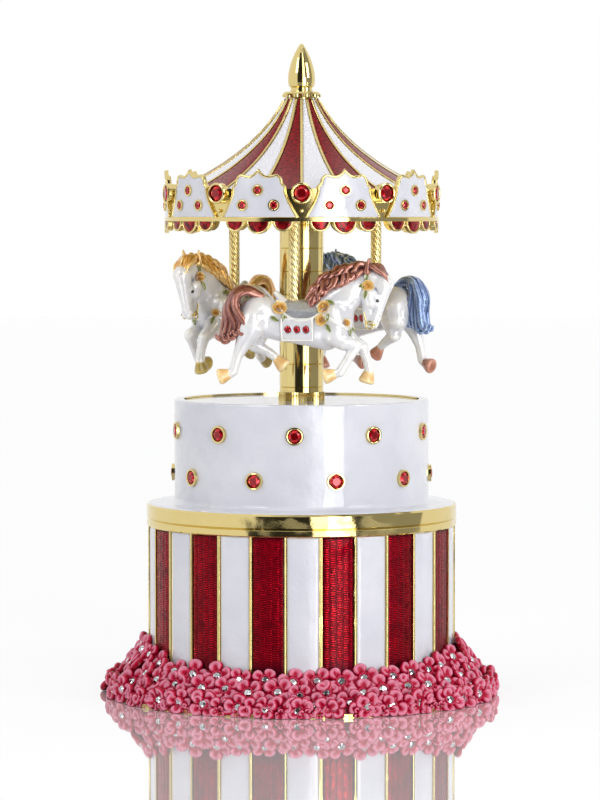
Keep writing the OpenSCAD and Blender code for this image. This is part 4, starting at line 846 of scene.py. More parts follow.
# %% Panel enamel
def pillow(theta):
    rings, lifts = [], []
    for inset, lift in ((0.42, 0.02), (0.5, 0.14), (0.62, 0.21), (0.9, 0.26), (1.3, 0.28)):
        rings.append(panel_outline(inset))
        lifts.append(lift)
    last = rings[-1]
    spine = np.clip(last[:, 1], 3.5, 9.5)
    for share in (0.75, 0.5, 0.25, 0.0):
        rings.append(np.stack([last[:, 0] * share, spine + (last[:, 1] - spine) * share], -1))
        lifts.append(0.29)
    points = np.concatenate([on_fascia(r, theta, k) for r, k in zip(rings, lifts)])
    faces = grid_faces(len(rings), len(last), True)[:, ::-1].tolist()
    return points, faces


made = gather([pillow(t + 18) for t in tenth])
piece("fascia_white_pillows", made[0], made[1], enamel, "carousel", "white_enamel", ["fascia_enamel"],
      sharp=60)

# %% [markdown]
# Half-moons of red enamel hang under the rail, three to a panel. Each is a low dome over half a disc, with
# its own rim of wire.

# %% Scallops
def scallop(theta, radius):
    share = np.concatenate([np.linspace(0.04, 0.8, 5), [0.9, 0.96, 1.0]])
    angle = np.linspace(-np.pi, 0, 25)
    s, a = np.meshgrid(share, angle, indexing="ij")
    flat = np.stack([radius * s * np.cos(a), radius * s * np.sin(a) - 0.05], -1).reshape(-1, 2)
    lift = 0.04 + 0.3 * (1 - s.ravel() ** 5)
    points = around(FASCIA_R + lift, theta + np.degrees(flat[:, 0] / FASCIA_R), CEILING + flat[:, 1])
    return points, grid_faces(len(share), len(angle), False)[:, ::-1]


moons = [(t + 18 + turn, radius) for t in tenth for turn, radius in ((-10.4, 2.75), (0, 3.35), (10.4, 2.75))]
made = gather([scallop(t, r - 0.42) for t, r in moons])
piece("scallop_domes", made[0], made[1], scallop_red, "carousel", "red_enamel", ["scallop_enamel"])
arc = np.linspace(-np.pi, 0, 25)
half_turn = np.stack([np.cos(arc), np.sin(arc)], -1)
wires("scallop_rims", [on_fascia((r - 0.28) * half_turn - (0, 0.05), t, 0.1) for t, r in moons], 0.3, gold,
      "carousel", waver=0.15, step=0.5)

# %% [markdown]
# The roof is a bell of twenty fields between twenty ribs. A field is a strip again, this time run up the
# roof's curve, its v taken from the length along the curve so that the brushed strokes keep their size as it
# narrows.

# %% Roof fields
t = np.linspace(0, 1, 49)[:, None]
corners = np.array([(4.45, 164.8), (9.45, 155.0), (19.9, 146.0), (36.1, 139.2)])
slope = ((1 - t) ** 3 * corners[0] + 3 * t * (1 - t) ** 2 * corners[1] + 3 * t * t * (1 - t) * corners[2]
         + t ** 3 * corners[3])[::-1]
along = np.concatenate([[0], np.cumsum(np.hypot(*np.diff(slope, axis=0).T))])
tangent = np.gradient(slope, axis=0)
normal = np.stack([tangent[:, 1], -tangent[:, 0]], -1) / np.hypot(*tangent.T)[:, None]
print("roof: slope", round(float(along[-1]), 1), "mm long")


def roof_field(start, width, columns=11):
    u = crowded(-1, 1, columns)
    half = slope[:, :1] * math.radians(width / 2) - 0.36
    gap = np.maximum(half * (1 - np.abs(u)), 0)
    lift = 0.03 + 0.3 * (1 - np.exp(-gap / 0.25))
    theta = start + width / 2 + np.degrees(u * np.maximum(half, 0.05) / slope[:, :1])
    points = around(slope[:, :1] + normal[:, :1] * lift, theta, slope[:, 1:] + normal[:, 1:] * lift)
    uv = np.stack(np.broadcast_arrays(u * half, along[:, None]), -1)
    shade = np.clip(gap / 0.8, 0, 1)
    return points.reshape(-1, 3), grid_faces(len(slope), columns, False), uv.reshape(-1, 2), shade.ravel()


for first, color, material in ((0, "white", pearl), (18, "red", roof_red)):
    made = gather([roof_field(start + first, 18) for start in tenth])
    piece(f"roof_{color}_fields", made[0], made[1], material, "carousel", f"{color}_enamel",
          [f"roof_{color}_enamel"], uv=made[2], shade=made[3])
rib = slope + normal * 0.22
wires("roof_ribs", [around(rib[1:-1, 0], i * 18, rib[1:-1, 1]) for i in range(20)], 0.34, gold, "carousel",
      waver=0.12)

# %% [markdown]
# The skirt is a heap of small flowers on a sloping ring. Its upper edge isn't level: it lies low across the
# front and climbs at the sides, so one rule gives its height at every angle, and skin and flowers both
# follow it. Under the flowers lies a plain crimson skin that shows only in the gaps, rippled so that they
# never look flat.

# %% Skirt skin
SKIRT_IN, SKIRT_OUT, SKIRT_H = 43.42, 52.0, 15.6


def skirt_radius(share):
    """Radius of the slope at a share of the way down: out along the slope, then straight down."""
    return SKIRT_IN + np.minimum(1, 1.2 * share) * (SKIRT_OUT - SKIRT_IN)


def skirt_top(theta):
    """Height of the heap's edge: low across the front, high at the sides, two shallow dips behind."""
    def away(middle):
        return np.abs((theta - middle + 180) % 360 - 180)
    front = 4.4 / (1 + np.exp((away(2) - 64) / 4)) + 1.2 * np.exp(-(away(2) / 25) ** 2)
    return SKIRT_H - front - 2.6 * np.exp(-(away(150) / 22) ** 2) - 2.8 * np.exp(-(away(-135) / 24) ** 2)


share = np.linspace(0, 1, 12)
face = np.stack([skirt_radius(share), SKIRT_H - 1.2 - share * (SKIRT_H - 2.2)], -1)
rim, foot = [(42.95, SKIRT_H - 0.9), (43.2, SKIRT_H - 0.7)], [(51.6, 1.0), (42.95, 1.0)]
points, faces = turned(np.concatenate([rim, face, foot])[::-1], 240)
free = (points[:, 2] > 1.5) & (np.hypot(points[:, 0], points[:, 1]) > 43.3)
ripple = 1 + 0.010 * np.sin(85 * np.arctan2(points[:, 1], points[:, 0])) * free
points[:, :2] *= np.minimum(ripple, 1.004)[:, None]
top = skirt_top(np.degrees(np.arctan2(points[:, 0], -points[:, 1])))
points[:, 2] = np.where(points[:, 2] > 1, 1 + (points[:, 2] - 1) * (top - 1) / (SKIRT_H - 1), points[:, 2])
piece("skirt_skin", points, faces, skirt_red, "base", "flower_enamel", ["flower_skirt"],
      shade=np.full(len(points), 0.45))


# %% [markdown]
# A flower starts as one plump petal: a cushion with a furrow that runs in from the heart, so that it reads
# as a curled lobe. It is built in rings from its middle to its foot, each with a reach, a height and a
# lightness, and closed by one point on top and one face below. The lightness is painted light on top of the
# cushion and painted shade at its foot. Four petals and a cup for the crystal make the flower.

# %% One flower
PETAL_RINGS = ((0.0, 0.62, 0.62), (0.36, 0.80, 0.95), (0.66, 0.88, 1.0), (0.86, 0.62, 0.74),
               (1.0, 0.02, 0.22), (0.94, -0.75, 0.03))


def petal_shape(spokes=12):
    a = np.arange(spokes) * TAU / spokes
    points, shade = [], []
    for reach, height, painted_light in PETAL_RINGS:
        x = 2.45 + 1.7 * reach * np.cos(a)
        y = 1.95 * reach * np.sin(a) * (1 + 0.18 * np.cos(a))
        furrow = np.exp(-(y / 0.62) ** 2) * np.clip((3.6 - x) / 1.6, 0, 1)
        points.append(np.stack([x, y, height - 0.85 * furrow * (height > 0.1) + 0.12 * (x - 1.5)], -1))
        # Painted shade also darkens the furrow and the side towards the heart.
        shade.append(np.clip(painted_light * (1 - 0.85 * furrow) * np.clip((x + 0.6) / 2.6, 0.25, 1), 0, 1))
    points, shade = np.concatenate(points)[spokes - 1:], np.concatenate(shade)[spokes - 1:]
    fan = [[0, 1 + k, 1 + (k + 1) % spokes] for k in range(spokes)]
    walls = grid_faces(len(PETAL_RINGS) - 1, spokes, True)[:, ::-1] + 1
    foot = list(range(len(points) - 1, len(points) - 1 - spokes, -1))
    return points, fan + walls.tolist() + [foot], shade


def turned_about_z(points, degrees):
    a = math.radians(degrees)
    return points @ np.array([[math.cos(a), math.sin(a), 0], [-math.sin(a), math.cos(a), 0], [0, 0, 1]])


one = petal_shape()
flower = gather([(turned_about_z(one[0], 90 * k) + (0, 0, 0.16 * (k % 2)), one[1], one[2]) for k in range(4)])
cup = band([(1.0, -0.6), (1.5, -0.5), (1.62, 0.25), (1.48, 0.62), (1.25, 0.66), (1.08, 0.35)], steps=14)
print("a flower has", len(flower[1]), "faces")

# %% [markdown]
# The heap is four rows of flowers, scattered a little and tipped at random. Each row has its share of the
# way down the slope, its count, where it starts, how far it stands out, how far it is raised and how far it
# leans back. Two rows of petals without crystals then hide the foot. All are clamped just above the table.

# %% The heap
rng = np.random.default_rng(11)
rows = []
for share, count, phase, out, up, lean in ((0.90, 38, 0.0, 0.9, 0.9, -6), (0.70, 40, 4.5, 0.15, 0, 12),
                                           (0.40, 40, 0.5, 0.15, 0, 12), (0.10, 40, 5.0, 0.15, 0, 12)):
    theta = phase + np.arange(count) * 360 / count + rng.uniform(-1.6, 1.6, count)
    down = share + rng.uniform(-0.05, 0.05, count)
    top = skirt_top(theta)
    z = top - 0.9 - down * (top - 1.6) + up
    lift = rng.uniform(10, 32, count) + lean
    facing = outwards(theta + rng.uniform(-16, 16, count), lift)
    rows.append(seats(around(skirt_radius(down) + out, theta, z), facing, rng.uniform(0, 90, count),
                      rng.uniform(0.82, 1.14, count)))
heap = np.concatenate(rows)
print("flowers:", len(heap))
for count, radius, height, low, high in ((46, 52.9, 2.3, 0.80, 0.98), (72, 53.25, 1.25, 0.40, 0.52)):
    theta = np.arange(count) * 360 / count + rng.uniform(-2, 2, count)
    rows.append(seats(around(radius, theta, height), outwards(theta, rng.uniform(-6, 6, count)),
                      rng.uniform(0, 90, count), rng.uniform(low, high, count)))
spread("flower_petals", flower, np.concatenate(rows), petal, "base", jitter=0.26, floor=0.1)
spread("flower_cups", cup, heap, petal, "base", floor=0.3)
hearts = heap.copy()
for row in hearts:
    row[:3] += Euler(row[3:6]).to_matrix() @ Vector((0, 0, 0.42 * row[6]))
spread("flower_hearts", scaled(stone, 1.14), hearts, clear_crystal, "base",
       ["skirt_crystals"], sharp=None, floor=0.3)

# %% [markdown]
# The poles are cast in the shape of a twisted rope. The third tree draws a line, twists its tilt along the
# way, and sweeps a lobed section along it. Each pole runs from a horse's back up to the ceiling.

# %% Twisted poles
g, given, made = new_tree("twisted_rod", "GeometryNodeTree",
                          [("Geometry", GEOMETRY, None), ("Radius", FLOAT, 0.0015), ("Turns", FLOAT, 4.0),
                           ("Lobes", "NodeSocketInt", 4), ("Finish", "NodeSocketMaterial", None)],
                          [("Geometry", GEOMETRY)])
path = g("GeometryNodeMeshToCurve", {0: given["Geometry"]}).outputs[0]
path = g("GeometryNodeResampleCurve", {"Curve": path, "Count": 110}).outputs[0]
share = g("GeometryNodeSplineParameter").outputs["Factor"]
tilt = g.math("MULTIPLY", g.math("MULTIPLY", share, given["Turns"]), TAU)
path = g("GeometryNodeSetCurveTilt", {0: path, 2: tilt}).outputs[0]
valley = g.math("MULTIPLY", given["Radius"], 0.85)
lobed = g("GeometryNodeCurveStar",
          {"Points": given["Lobes"], "Inner Radius": valley, "Outer Radius": given["Radius"]}).outputs[0]
lobed = g("GeometryNodeSubdivideCurve", {"Curve": lobed, "Cuts": 1}).outputs[0]
rod = g("GeometryNodeCurveToMesh", {"Curve": path, "Profile Curve": lobed, "Fill Caps": True}).outputs[0]
rod = g("GeometryNodeSetShadeSmooth", {0: rod}).outputs[0]
rod_tree = handed_out(g, given, made, rod)

# Each horse: its name, its pole's angle from the front, how much higher it rides, and its turn on the pole.
HORSES = (("front", -5.0, 0.0, 0.0), ("right", 115.0, 2.0, 15.0), ("left", -125.0, 2.0, 0.0))
for side, turn, rise, yaw in HORSES:
    mesh = bpy.data.meshes.new(f"{side}_twisted_pole")
    mesh.from_pydata((around(POLE_RING, turn, np.array([SEAT + rise, CEILING])) * MM).tolist(), [(0, 1)], [])
    grow(f"{side}_twisted_pole", mesh, rod_tree,
         {"Radius": 1.5 * MM, "Turns": -1.3, "Lobes": 10, "Finish": pole_gold}, "carousel",
         [f"{side}_pole"])

# %% [markdown]
# The horses are small sculptures, so they are modelled as a sculptor works: round limbs of clay pressed
# together. Each limb is a tapered capsule given by its distance function, and a smooth union lets two of
# them run into each other like wet clay. A grid of cells then finds where the distance is zero and skins it
# with quads.

# %% Clay
def limb(p, a, b, ra, rb, flat=1.0):
    """Distance from points to a round limb from a to b; flat narrows it sideways."""
    a, b = np.array(a, np.float32), np.array(b, np.float32)
    q, d = p - a, b - a
    t = np.clip(q @ d / max(float(d @ d), 1e-9), 0, 1)
    q = q - t[:, None] * d
    q[:, 1] /= flat
    return np.sqrt((q * q).sum(1)) - (ra + (rb - ra) * t)


def press(d, e, width):
    """Smooth union of two distances."""
    h = np.clip(0.5 + 0.5 * (e - d) / width, 0, 1)
    return e + (d - e) * h - width * h * (1 - h)


def chain(p, points, radii, flat=1.0):
    d = limb(p, points[0], points[1], radii[0], radii[1], flat)
    for i in range(1, len(points) - 1):
        d = np.minimum(d, limb(p, points[i], points[i + 1], radii[i], radii[i + 1], flat))
    return d


def through(points, count):
    """A smooth row of count points through the given ones."""
    p = np.array(points, float)
    p = np.vstack([2 * p[0] - p[1], p, 2 * p[-1] - p[-2]])
    out = []
    for t in np.linspace(0, len(points) - 1.0001, count):
        i = int(t)
        f, (a, b, c, d) = t - i, p[i:i + 4]
        bend, twist = 2 * a - 5 * b + 4 * c - d, 3 * b - a - 3 * c + d
        out.append(0.5 * (2 * b + (c - a) * f + bend * f ** 2 + twist * f ** 3))
    return np.array(out)


# %% [markdown]
# The skin is found by surface nets. Every cell that the surface crosses gets one point, at the mean of its
# crossings, and every crossed grid edge joins the four cells round it with one quad. The quads come out
# even, which smooths and shades better than triangles. Comparing the skin with a blurred copy of itself
# tells where it is hollow and where it bulges, and that becomes the shade attribute, which the finishes turn
# into painted shade in the hollows and painted light on the bulges.

# %% Skin
def skin(field, low, high, cell, soften=2, contrast=2.6):
    """Points, quads and shade of a field's surface inside a box, all in mm."""
    n = [int(math.ceil((high[i] - low[i]) / cell)) + 1 for i in range(3)]
    axes = [low[i] + cell * np.arange(n[i], dtype=np.float32) for i in range(3)]
    d = np.ones(n, np.float32)
    y, z = np.meshgrid(axes[1][1:-1], axes[2][1:-1], indexing="ij")
    for i in range(1, n[0] - 1):
        p = np.stack([np.full(y.size, axes[0][i]), y.ravel(), z.ravel()], -1).astype(np.float32)
        d[i, 1:-1, 1:-1] = field(p).reshape(y.shape)
    cells = [m - 1 for m in n]
    total, count = np.zeros(cells + [3], np.float32), np.zeros(cells, np.float32)
    for axis in range(3):
        u, v = [(1, 2), (0, 2), (0, 1)][axis]
        for du, dv in ((0, 0), (0, 1), (1, 0), (1, 1)):
            start = [0, 0, 0]
            start[u], start[v] = du, dv
            end = list(start)
            end[axis] = 1
            da, db = (d[tuple(slice(k, k + m) for k, m in zip(o, cells))] for o in (start, end))
            cut = (da < 0) != (db < 0)
            share = np.where(cut, da / np.where(cut, da - db, 1), 0)
            for c in range(3):
                total[..., c] += np.where(cut, share if c == axis else start[c], 0)
            count += cut
    used = count > 0
    index = np.full(cells, -1)
    index[used] = np.arange(used.sum())
    points = (np.argwhere(used) + total[used] / count[used][:, None]) * cell + np.array(low)
    quads = []
    for axis in range(3):
        u, v = (np.eye(3, dtype=int)[k] for k in [(1, 2), (2, 0), (0, 1)][axis])
        near = [slice(1, m - 1) for m in n]
        near[axis] = slice(0, n[axis] - 1)
        far = list(near)
        far[axis] = slice(1, n[axis])
        a, b = d[tuple(near)] < 0, d[tuple(far)] < 0
        cut = np.argwhere(a != b) + [s.start for s in near]
        quad = np.stack([index[tuple((cut - k).T)] for k in (u * 0, u, u + v, v)], 1)
        out = a[a != b]
        quad[~out] = quad[~out][:, ::-1]
        quads.append(quad)
    quads = np.concatenate(quads)
    edges = np.concatenate([quads[:, [0, 1]], quads[:, [1, 2]], quads[:, [2, 3]], quads[:, [3, 0]]])
    degree = np.maximum(np.bincount(edges.ravel(), minlength=len(points)), 1)[:, None]

    def blur(values, rounds):
        for _ in range(rounds):
            around_it = [np.bincount(edges[:, 0], values[edges[:, 1], c], len(points))
                         + np.bincount(edges[:, 1], values[edges[:, 0], c], len(points)) for c in range(3)]
            values = 0.5 * values + 0.5 * np.stack(around_it, -1) / degree
        return values

    points = blur(points, soften)
    normals = np.zeros_like(points)
    face = np.cross(points[quads[:, 2]] - points[quads[:, 0]], points[quads[:, 3]] - points[quads[:, 1]])
    for k in range(4):
        for c in range(3):
            normals[:, c] += np.bincount(quads[:, k], face[:, c], len(points))
    normals /= np.maximum(np.linalg.norm(normals, axis=1, keepdims=True), 1e-9)
    drop = ((blur(points, 10) - points) * normals).sum(1)
    return points, quads, np.clip(0.55 - contrast * drop, 0, 1)


# %% [markdown]
# A galloping horse, facing +X, with its origin on the pole at the height of the saddle. The trunk comes
# first, because saddle and cloth are cut from a slightly larger trunk, and so lie on it like leather.

# %% Trunk, neck, head and legs
SIDES = (-1, 1)


def trunk(p):
    d = limb(p, (-9.4, 0, -2.9), (-2, 0, -3.9), 6.0, 4.6, 0.8)
    d = press(d, limb(p, (-2, 0, -3.9), (9.6, 0, -4.8), 4.7, 6.1, 0.8), 1.2)
    d = press(d, limb(p, (9.6, 0, -5.2), (11.6, 0, -2.6), 5.6, 4.6, 0.8), 1.2)
    for s in SIDES:
        d = press(d, limb(p, (-11.0, s * 2.3, -3.4), (-12.0, s * 2.6, -6.0), 3.7, 3.3), 1.0)
        d = press(d, limb(p, (10.6, s * 2.5, -2.0), (12.0, s * 2.7, -6.2), 3.2, 2.8), 0.9)
    return press(d, limb(p, (8.4, 0, -9), (-4, 0, -6.8), 2.6, 2.2), 2.0)


LEGS = (([(-11.4, -2.5, -5.2), (-13.7, -2.8, -10.2), (-15.2, -2.9, -13.6), (-16.2, -2.9, -17.4),
          (-17.2, -2.9, -18.2)],
         [4.0, 2.1, 1.35, 1.3, 1.25]),
        ([(-9.6, 2.5, -6.0), (-11.0, 2.8, -10.6), (-7.6, 2.8, -12.3), (-5.6, 2.8, -13.7)],
         [3.6, 1.9, 1.35, 1.2]),
        ([(11.0, -2.5, -7.6), (13.8, -2.9, -9.6), (17.0, -3.0, -10.4), (14.8, -3.0, -14.2),
          (12.7, -3.0, -17.6), (11.4, -3.0, -18.1)],
         [3.2, 2.2, 1.65, 1.25, 1.3, 1.15]),
        ([(12.8, 2.4, -7.4), (15.8, 2.8, -9.6), (18.4, 2.9, -11.2), (19.6, 2.9, -14.4), (20.2, 2.9, -17.4)],
         [3.0, 2.1, 1.65, 1.25, 1.3]))


def horse_body(p):
    d = press(trunk(p), limb(p, (9.6, 0, -0.6), (14.8, 0, 3.9), 5.2, 4.3, 0.72), 1.8)
    d = press(d, limb(p, (14.8, 0, 3.9), (20.4, 0, 6.9), 4.2, 3.0, 0.72), 1.6)
    h = limb(p, (21.3, 0, 7.2), (24.4, 0, 6.3), 2.6, 2.5, 0.9)
    h = press(h, limb(p, (24.4, 0, 6.2), (22.1, 0, -2.8), 2.5, 1.45), 0.8)
    h = press(h, limb(p, (22.1, 0, -2.8), (21.3, 0, -4.5), 1.5, 1.65), 0.6)
    h = press(h, limb(p, (20.3, 0, 2.4), (20.2, 0, -4.4), 2.1, 1.5), 0.8)
    for s in SIDES:
        h = press(h, limb(p, (20.4, s * 1.15, 3.0), (20.7, s * 1.0, 1.6), 2.35, 2.2), 0.7)
        h = press(h, limb(p, (22.9, s * 1.75, 2.5), (23.3, s * 1.7, 2.2), 0.75, 0.6), 0.5)
        h = press(h, limb(p, (22.0, s * 0.9, -4.3), (22.0, s * 0.85, -4.7), 1.0, 0.95), 0.4)
    d = press(d, h, 1.0)
    for points, radii in LEGS:
        d = press(d, chain(p, points, radii), 0.9)
    for s in SIDES:
        d = np.maximum(d, -limb(p, (22.55, s * 1.85, -4.7), (22.3, s * 2.0, -4.3), 0.34, 0.28))
        d = np.maximum(d, -limb(p, (22.4, s * 1.75, -5.6), (20.6, s * 1.75, -5.0), 0.2, 0.16))
    return d


def hooves(p):
    d = np.full(len(p), 9.0, np.float32)
    for a, b, ra, rb in (((-17.2, -2.9, -18.1), (-19.6, -2.9, -18.9), 1.35, 2.2),
                         ((-5.1, 2.8, -14.3), (-3.2, 2.8, -16.1), 1.3, 2.1),
                         ((11.4, -3.0, -18.1), (9.0, -3.0, -18.7), 1.35, 2.15),
                         ((20.1, 2.9, -17.8), (19.5, 2.9, -20.0), 1.45, 2.2)):
        axis = (np.array(b) - a) / math.dist(a, b)
        past_a, past_b = ((p - np.array(end, np.float32)) @ axis for end in (a, b))
        sole = np.maximum(past_b - 0.9, -past_a - 0.55)
        tip = b + 0.9 * axis + (0.5 * axis[2], 0, -0.5 * axis[0])
        toe = press(limb(p, a, b, ra, rb, 0.85), limb(p, b, tip, 1.2, 0.9), 0.6)
        d = np.minimum(d, -press(-toe, -sole, 0.7))
    return d


# %% [markdown]
# Hair is carved as overlapping locks. A lock is a tapered chain along a smooth curve, and only a narrow
# union joins it to its neighbours, so that the valleys between locks stay. The mane's locks leave the crest
# of the neck and fall to a hem on both sides; the tail's leave the dock in an arch and end in curls.

# %% Mane and tail
def from_locks(locks, union=0.16):
    def field(p):
        d = np.full(len(p), 9.0, np.float32)
        for points, radii in locks:
            near = ((p > points.min(0) - 2.2) & (p < points.max(0) + 2.2)).all(1)
            if near.any():
                d[near] = press(d[near], chain(p[near], points.astype(np.float32), radii), union)
        return d
    return field


def taper(thick, count, tip=0.22):
    t = np.linspace(0, 1, count)
    return (thick * np.clip(1.12 - 0.25 * (1 - t) ** 4 - 0.95 * t ** 3.2, tip / thick, 1.1)).tolist()


def wavy(points, count, size, phase):
    """A smooth lock through the points that also waves along its length."""
    q = through(points, count)
    t = np.linspace(0, 1, count)
    sway = size * np.sin(TAU * (1.35 * t + phase)) * np.sin(np.pi * np.clip(t * 1.1, 0, 1)) ** 0.6
    along = np.gradient(q, axis=0)
    along /= np.linalg.norm(along, axis=1, keepdims=True)
    return q + sway[:, None] * np.stack([along[:, 2], 0.3 * np.ones(count), -along[:, 0]], -1)


def mane():
    chance = np.random.default_rng(5)
    crest = through([(4.6, 4.0), (7.0, 7.1), (10.5, 9.3), (14.2, 10.6), (17.6, 11.2), (20.4, 10.9)], 40)
    hem = through([(5.4, 0.6), (7.6, 2.8), (10.4, 4.6), (13.6, 6.0), (16.4, 7.6), (18.6, 8.4)], 40)
    locks = []
    for s in SIDES:
        for i in range(13):
            t = i / 12 * 39
            c, h, w = crest[int(t)], hem[int(max(0, t - 7))], chance.uniform(-0.7, 0.7)
            half = 2.3 if i < 10 else 1.9
            fall = [(c[0] + 0.3, s * 0.2, c[1] - 0.5),
                    (0.7 * c[0] + 0.3 * h[0] - 0.3, s * half * 0.66, 0.62 * c[1] + 0.38 * h[1] + 0.5),
                    (0.35 * c[0] + 0.65 * h[0] - 0.4 + w, s * (half + 0.75), 0.2 * c[1] + 0.8 * h[1] + 0.3),
                    (h[0] - 0.6 + w, s * (half + 0.9), h[1] - 0.5)]
            locks.append((wavy(fall, 16, 0.5, chance.uniform(0, 1)), taper(chance.uniform(0.72, 0.98), 16)))
        for i in range(9):
            t = 5 + i / 8 * 34
            c, b, w = crest[int(t)], crest[int(max(0, t - 9))], chance.uniform(-0.4, 0.4)
            m = 0.5 * (c + b)
            fall = [(c[0], s * 0.5, c[1] - 0.3), (m[0], s * 1.3, m[1] + 0.5),
                    (b[0], s * (1.9 + w), b[1] - 1.0 + w), (b[0] - 1.4, s * (2.6 + w), b[1] - 1.8)]
            locks.append((wavy(fall, 14, 0.42, chance.uniform(0, 1)), taper(0.8, 14)))
    for s, k in ((0, 0), (-1, 1), (1, 1), (-0.5, 0.5), (0.5, 0.5), (-1.6, 1.6), (1.6, 1.6)):
        fall = [(19.4, s * 0.8, 10.6), (21.6, s * 1.3, 11.1 - 0.3 * k), (23.9, s * 1.5, 10.3 - 0.5 * k),
                (25.7, s * 1.3, 8.2 - 1.0 * k)]
        locks.append((wavy(fall, 12, 0.4, 0.3 * k), taper(0.76, 12)))
    q = through([(5, 0, 3.4), (8, 0, 6.5), (13, 0, 9.0), (18, 0, 10.1), (20.6, 0, 9.8)], 8)
    return locks + [(q, [1.1, 1.3, 1.4, 1.4, 1.3, 1.2, 1.1, 0.9])]


def ears(p):
    d = np.full(len(p), 9.0, np.float32)
    for s in SIDES:
        e = limb(p, (19.9, s * 2.1, 9.6), (20.4, s * 2.7, 12.9), 1.05, 0.3)
        d = np.minimum(d, np.maximum(e, -limb(p, (20.9, s * 2.7, 10.3), (20.9, s * 3.0, 12.4), 0.62, 0.15)))
    return d


def tail():
    chance = np.random.default_rng(3)
    locks = []
    for i in range(16):
        f, layer = i / 15, i % 3
        w = chance.uniform(-0.5, 0.5)
        y = (0.6 if layer == 0 else -1.2 if layer == 1 else -2.4) - 2.8 * f * (layer > 0)
        x, z = -19.6 + 7.2 * f, -7.6 - 1.0 * math.sin(5 * f) + w
        q = [(-8.8, 0.2 * y, 3.0 - 0.3 * f), (-12.6, 0.5 * y, 4.9 - 1.1 * f + 0.4 * w),
             (-16.2 + 1.3 * f, 0.8 * y, 4.0 - 1.6 * f), (-18.8 + 3.8 * f, y, -0.4 + 0.3 * f),
             (-18.6 + 5.6 * f + w, 1.05 * y, -4.2), (x, y, z), (x - 1.3, y - 0.3, z - 0.9),
             (x - 1.9, y - 0.3, z + 0.3)]
        locks.append((wavy(q, 26, 0.4, chance.uniform(0, 1)), taper(chance.uniform(0.8, 1.05), 26, 0.3)))
    return locks


# %% [markdown]
# Tack: a saddle with a raised rim, pommel and cantle, and a cloth under it. Each is a shell of the trunk, a
# little larger than the trunk itself, cut to its outline as seen from the side.

# %% Saddle and cloth
def from_saddle(p):
    return np.hypot(p[:, 0] - 2.3, p[:, 2] - 3.3) - 6.9


def saddle(p):
    t = trunk(p)
    d = np.maximum(np.maximum(t - 0.42, from_saddle(p)), -(t + 1.2))
    return press(d, limb(p, (-2.6, 0, 0.4), (6.0, 0, 0.6), 1.5, 1.5, 1.6), 0.8)


def saddle_trim(p):
    t = trunk(p)
    rim = np.maximum(np.hypot(t - 0.42, from_saddle(p)) - 0.36, p[:, 2] - 2.2)
    back = limb(p, (-2.8, 0, 1.0), (-4.9, 0, 3.6), 1.5, 0.75, 1.5)
    front = limb(p, (5.4, 0, 1.0), (7.0, 0, 2.6), 1.2, 0.7, 1.3)
    edge = np.maximum(np.abs(p[:, 0] - 1.05) - 4.35, np.abs(p[:, 2] + 6.2) - 3.1)
    hem = np.maximum(np.hypot(t - 0.5, edge + 0.15) - 0.3, np.abs(p[:, 2] + 6.2) - 3.3)
    strap = np.maximum(np.abs(t - 0.1) - 0.35, np.abs(0.47 * (p[:, 0] - 9) + 0.88 * (p[:, 2] + 2.6)) - 0.5)
    strap = np.maximum(strap, np.maximum(p[:, 0] - 15.5, 8 - p[:, 0]))
    return np.minimum(np.minimum(np.minimum(rim, hem), press(back, front, 0.1)), strap)


def cloth(p):
    t = trunk(p)
    edge = np.maximum(np.abs(p[:, 0] - 1.05) - 4.35, np.abs(p[:, 2] + 6.2) - 3.1)
    return np.maximum(np.maximum(t - 0.5, edge), -(t + 1.0))


SCULPTED = {
    "body": skin(horse_body, (-19, -7.5, -20), (28.5, 7.5, 11.5), 0.3, contrast=3.6),
    "hooves": skin(hooves, (-23, -6, -23), (23, 6, -12), 0.26, soften=1, contrast=5),
    "hair": skin(lambda p: np.minimum(from_locks(mane())(p), np.minimum(ears(p), from_locks(tail())(p))),
                 (-23.0, -7.2, -11.5), (28.0, 6.0, 14.0), 0.22, soften=1, contrast=6),
    "saddle": skin(saddle, (-6.5, -6.5, -5), (10.5, 6.5, 4), 0.26),
    "cloth": skin(cloth, (-4.5, -7, -10.5), (6.5, 7, -2.0), 0.25),
    "trim": skin(saddle_trim, (-7.5, -7.5, -11), (16.5, 7.5, 6), 0.22, contrast=4),
}
for name, (points, quads, shade) in SCULPTED.items():
    print(f"horse {name}: {len(quads)} quads, shade {shade.min():.2f} to {shade.max():.2f}")

# %% [markdown]
# Flowers and fittings go where the skin is. From a place seen from the side, a search runs in from outside
# until it meets the clay, and the slope of the distance there is the direction that the flower faces.

# %% Places on the skin
def on_skin(x, z, side, field=horse_body, proud=0.0):
    y = np.linspace(side * 7.5, 0, 301, dtype=np.float32)
    p = np.stack([np.full(301, x), y, np.full(301, z)], -1).astype(np.float32)
    hit = p[int(np.argmax(field(p) < proud))]
    around_it = hit + 0.15 * np.concatenate([np.eye(3), -np.eye(3)]).astype(np.float32)
    d = field(around_it.astype(np.float32))
    n = d[:3] - d[3:]
    return hit.astype(float), n / np.linalg.norm(n)


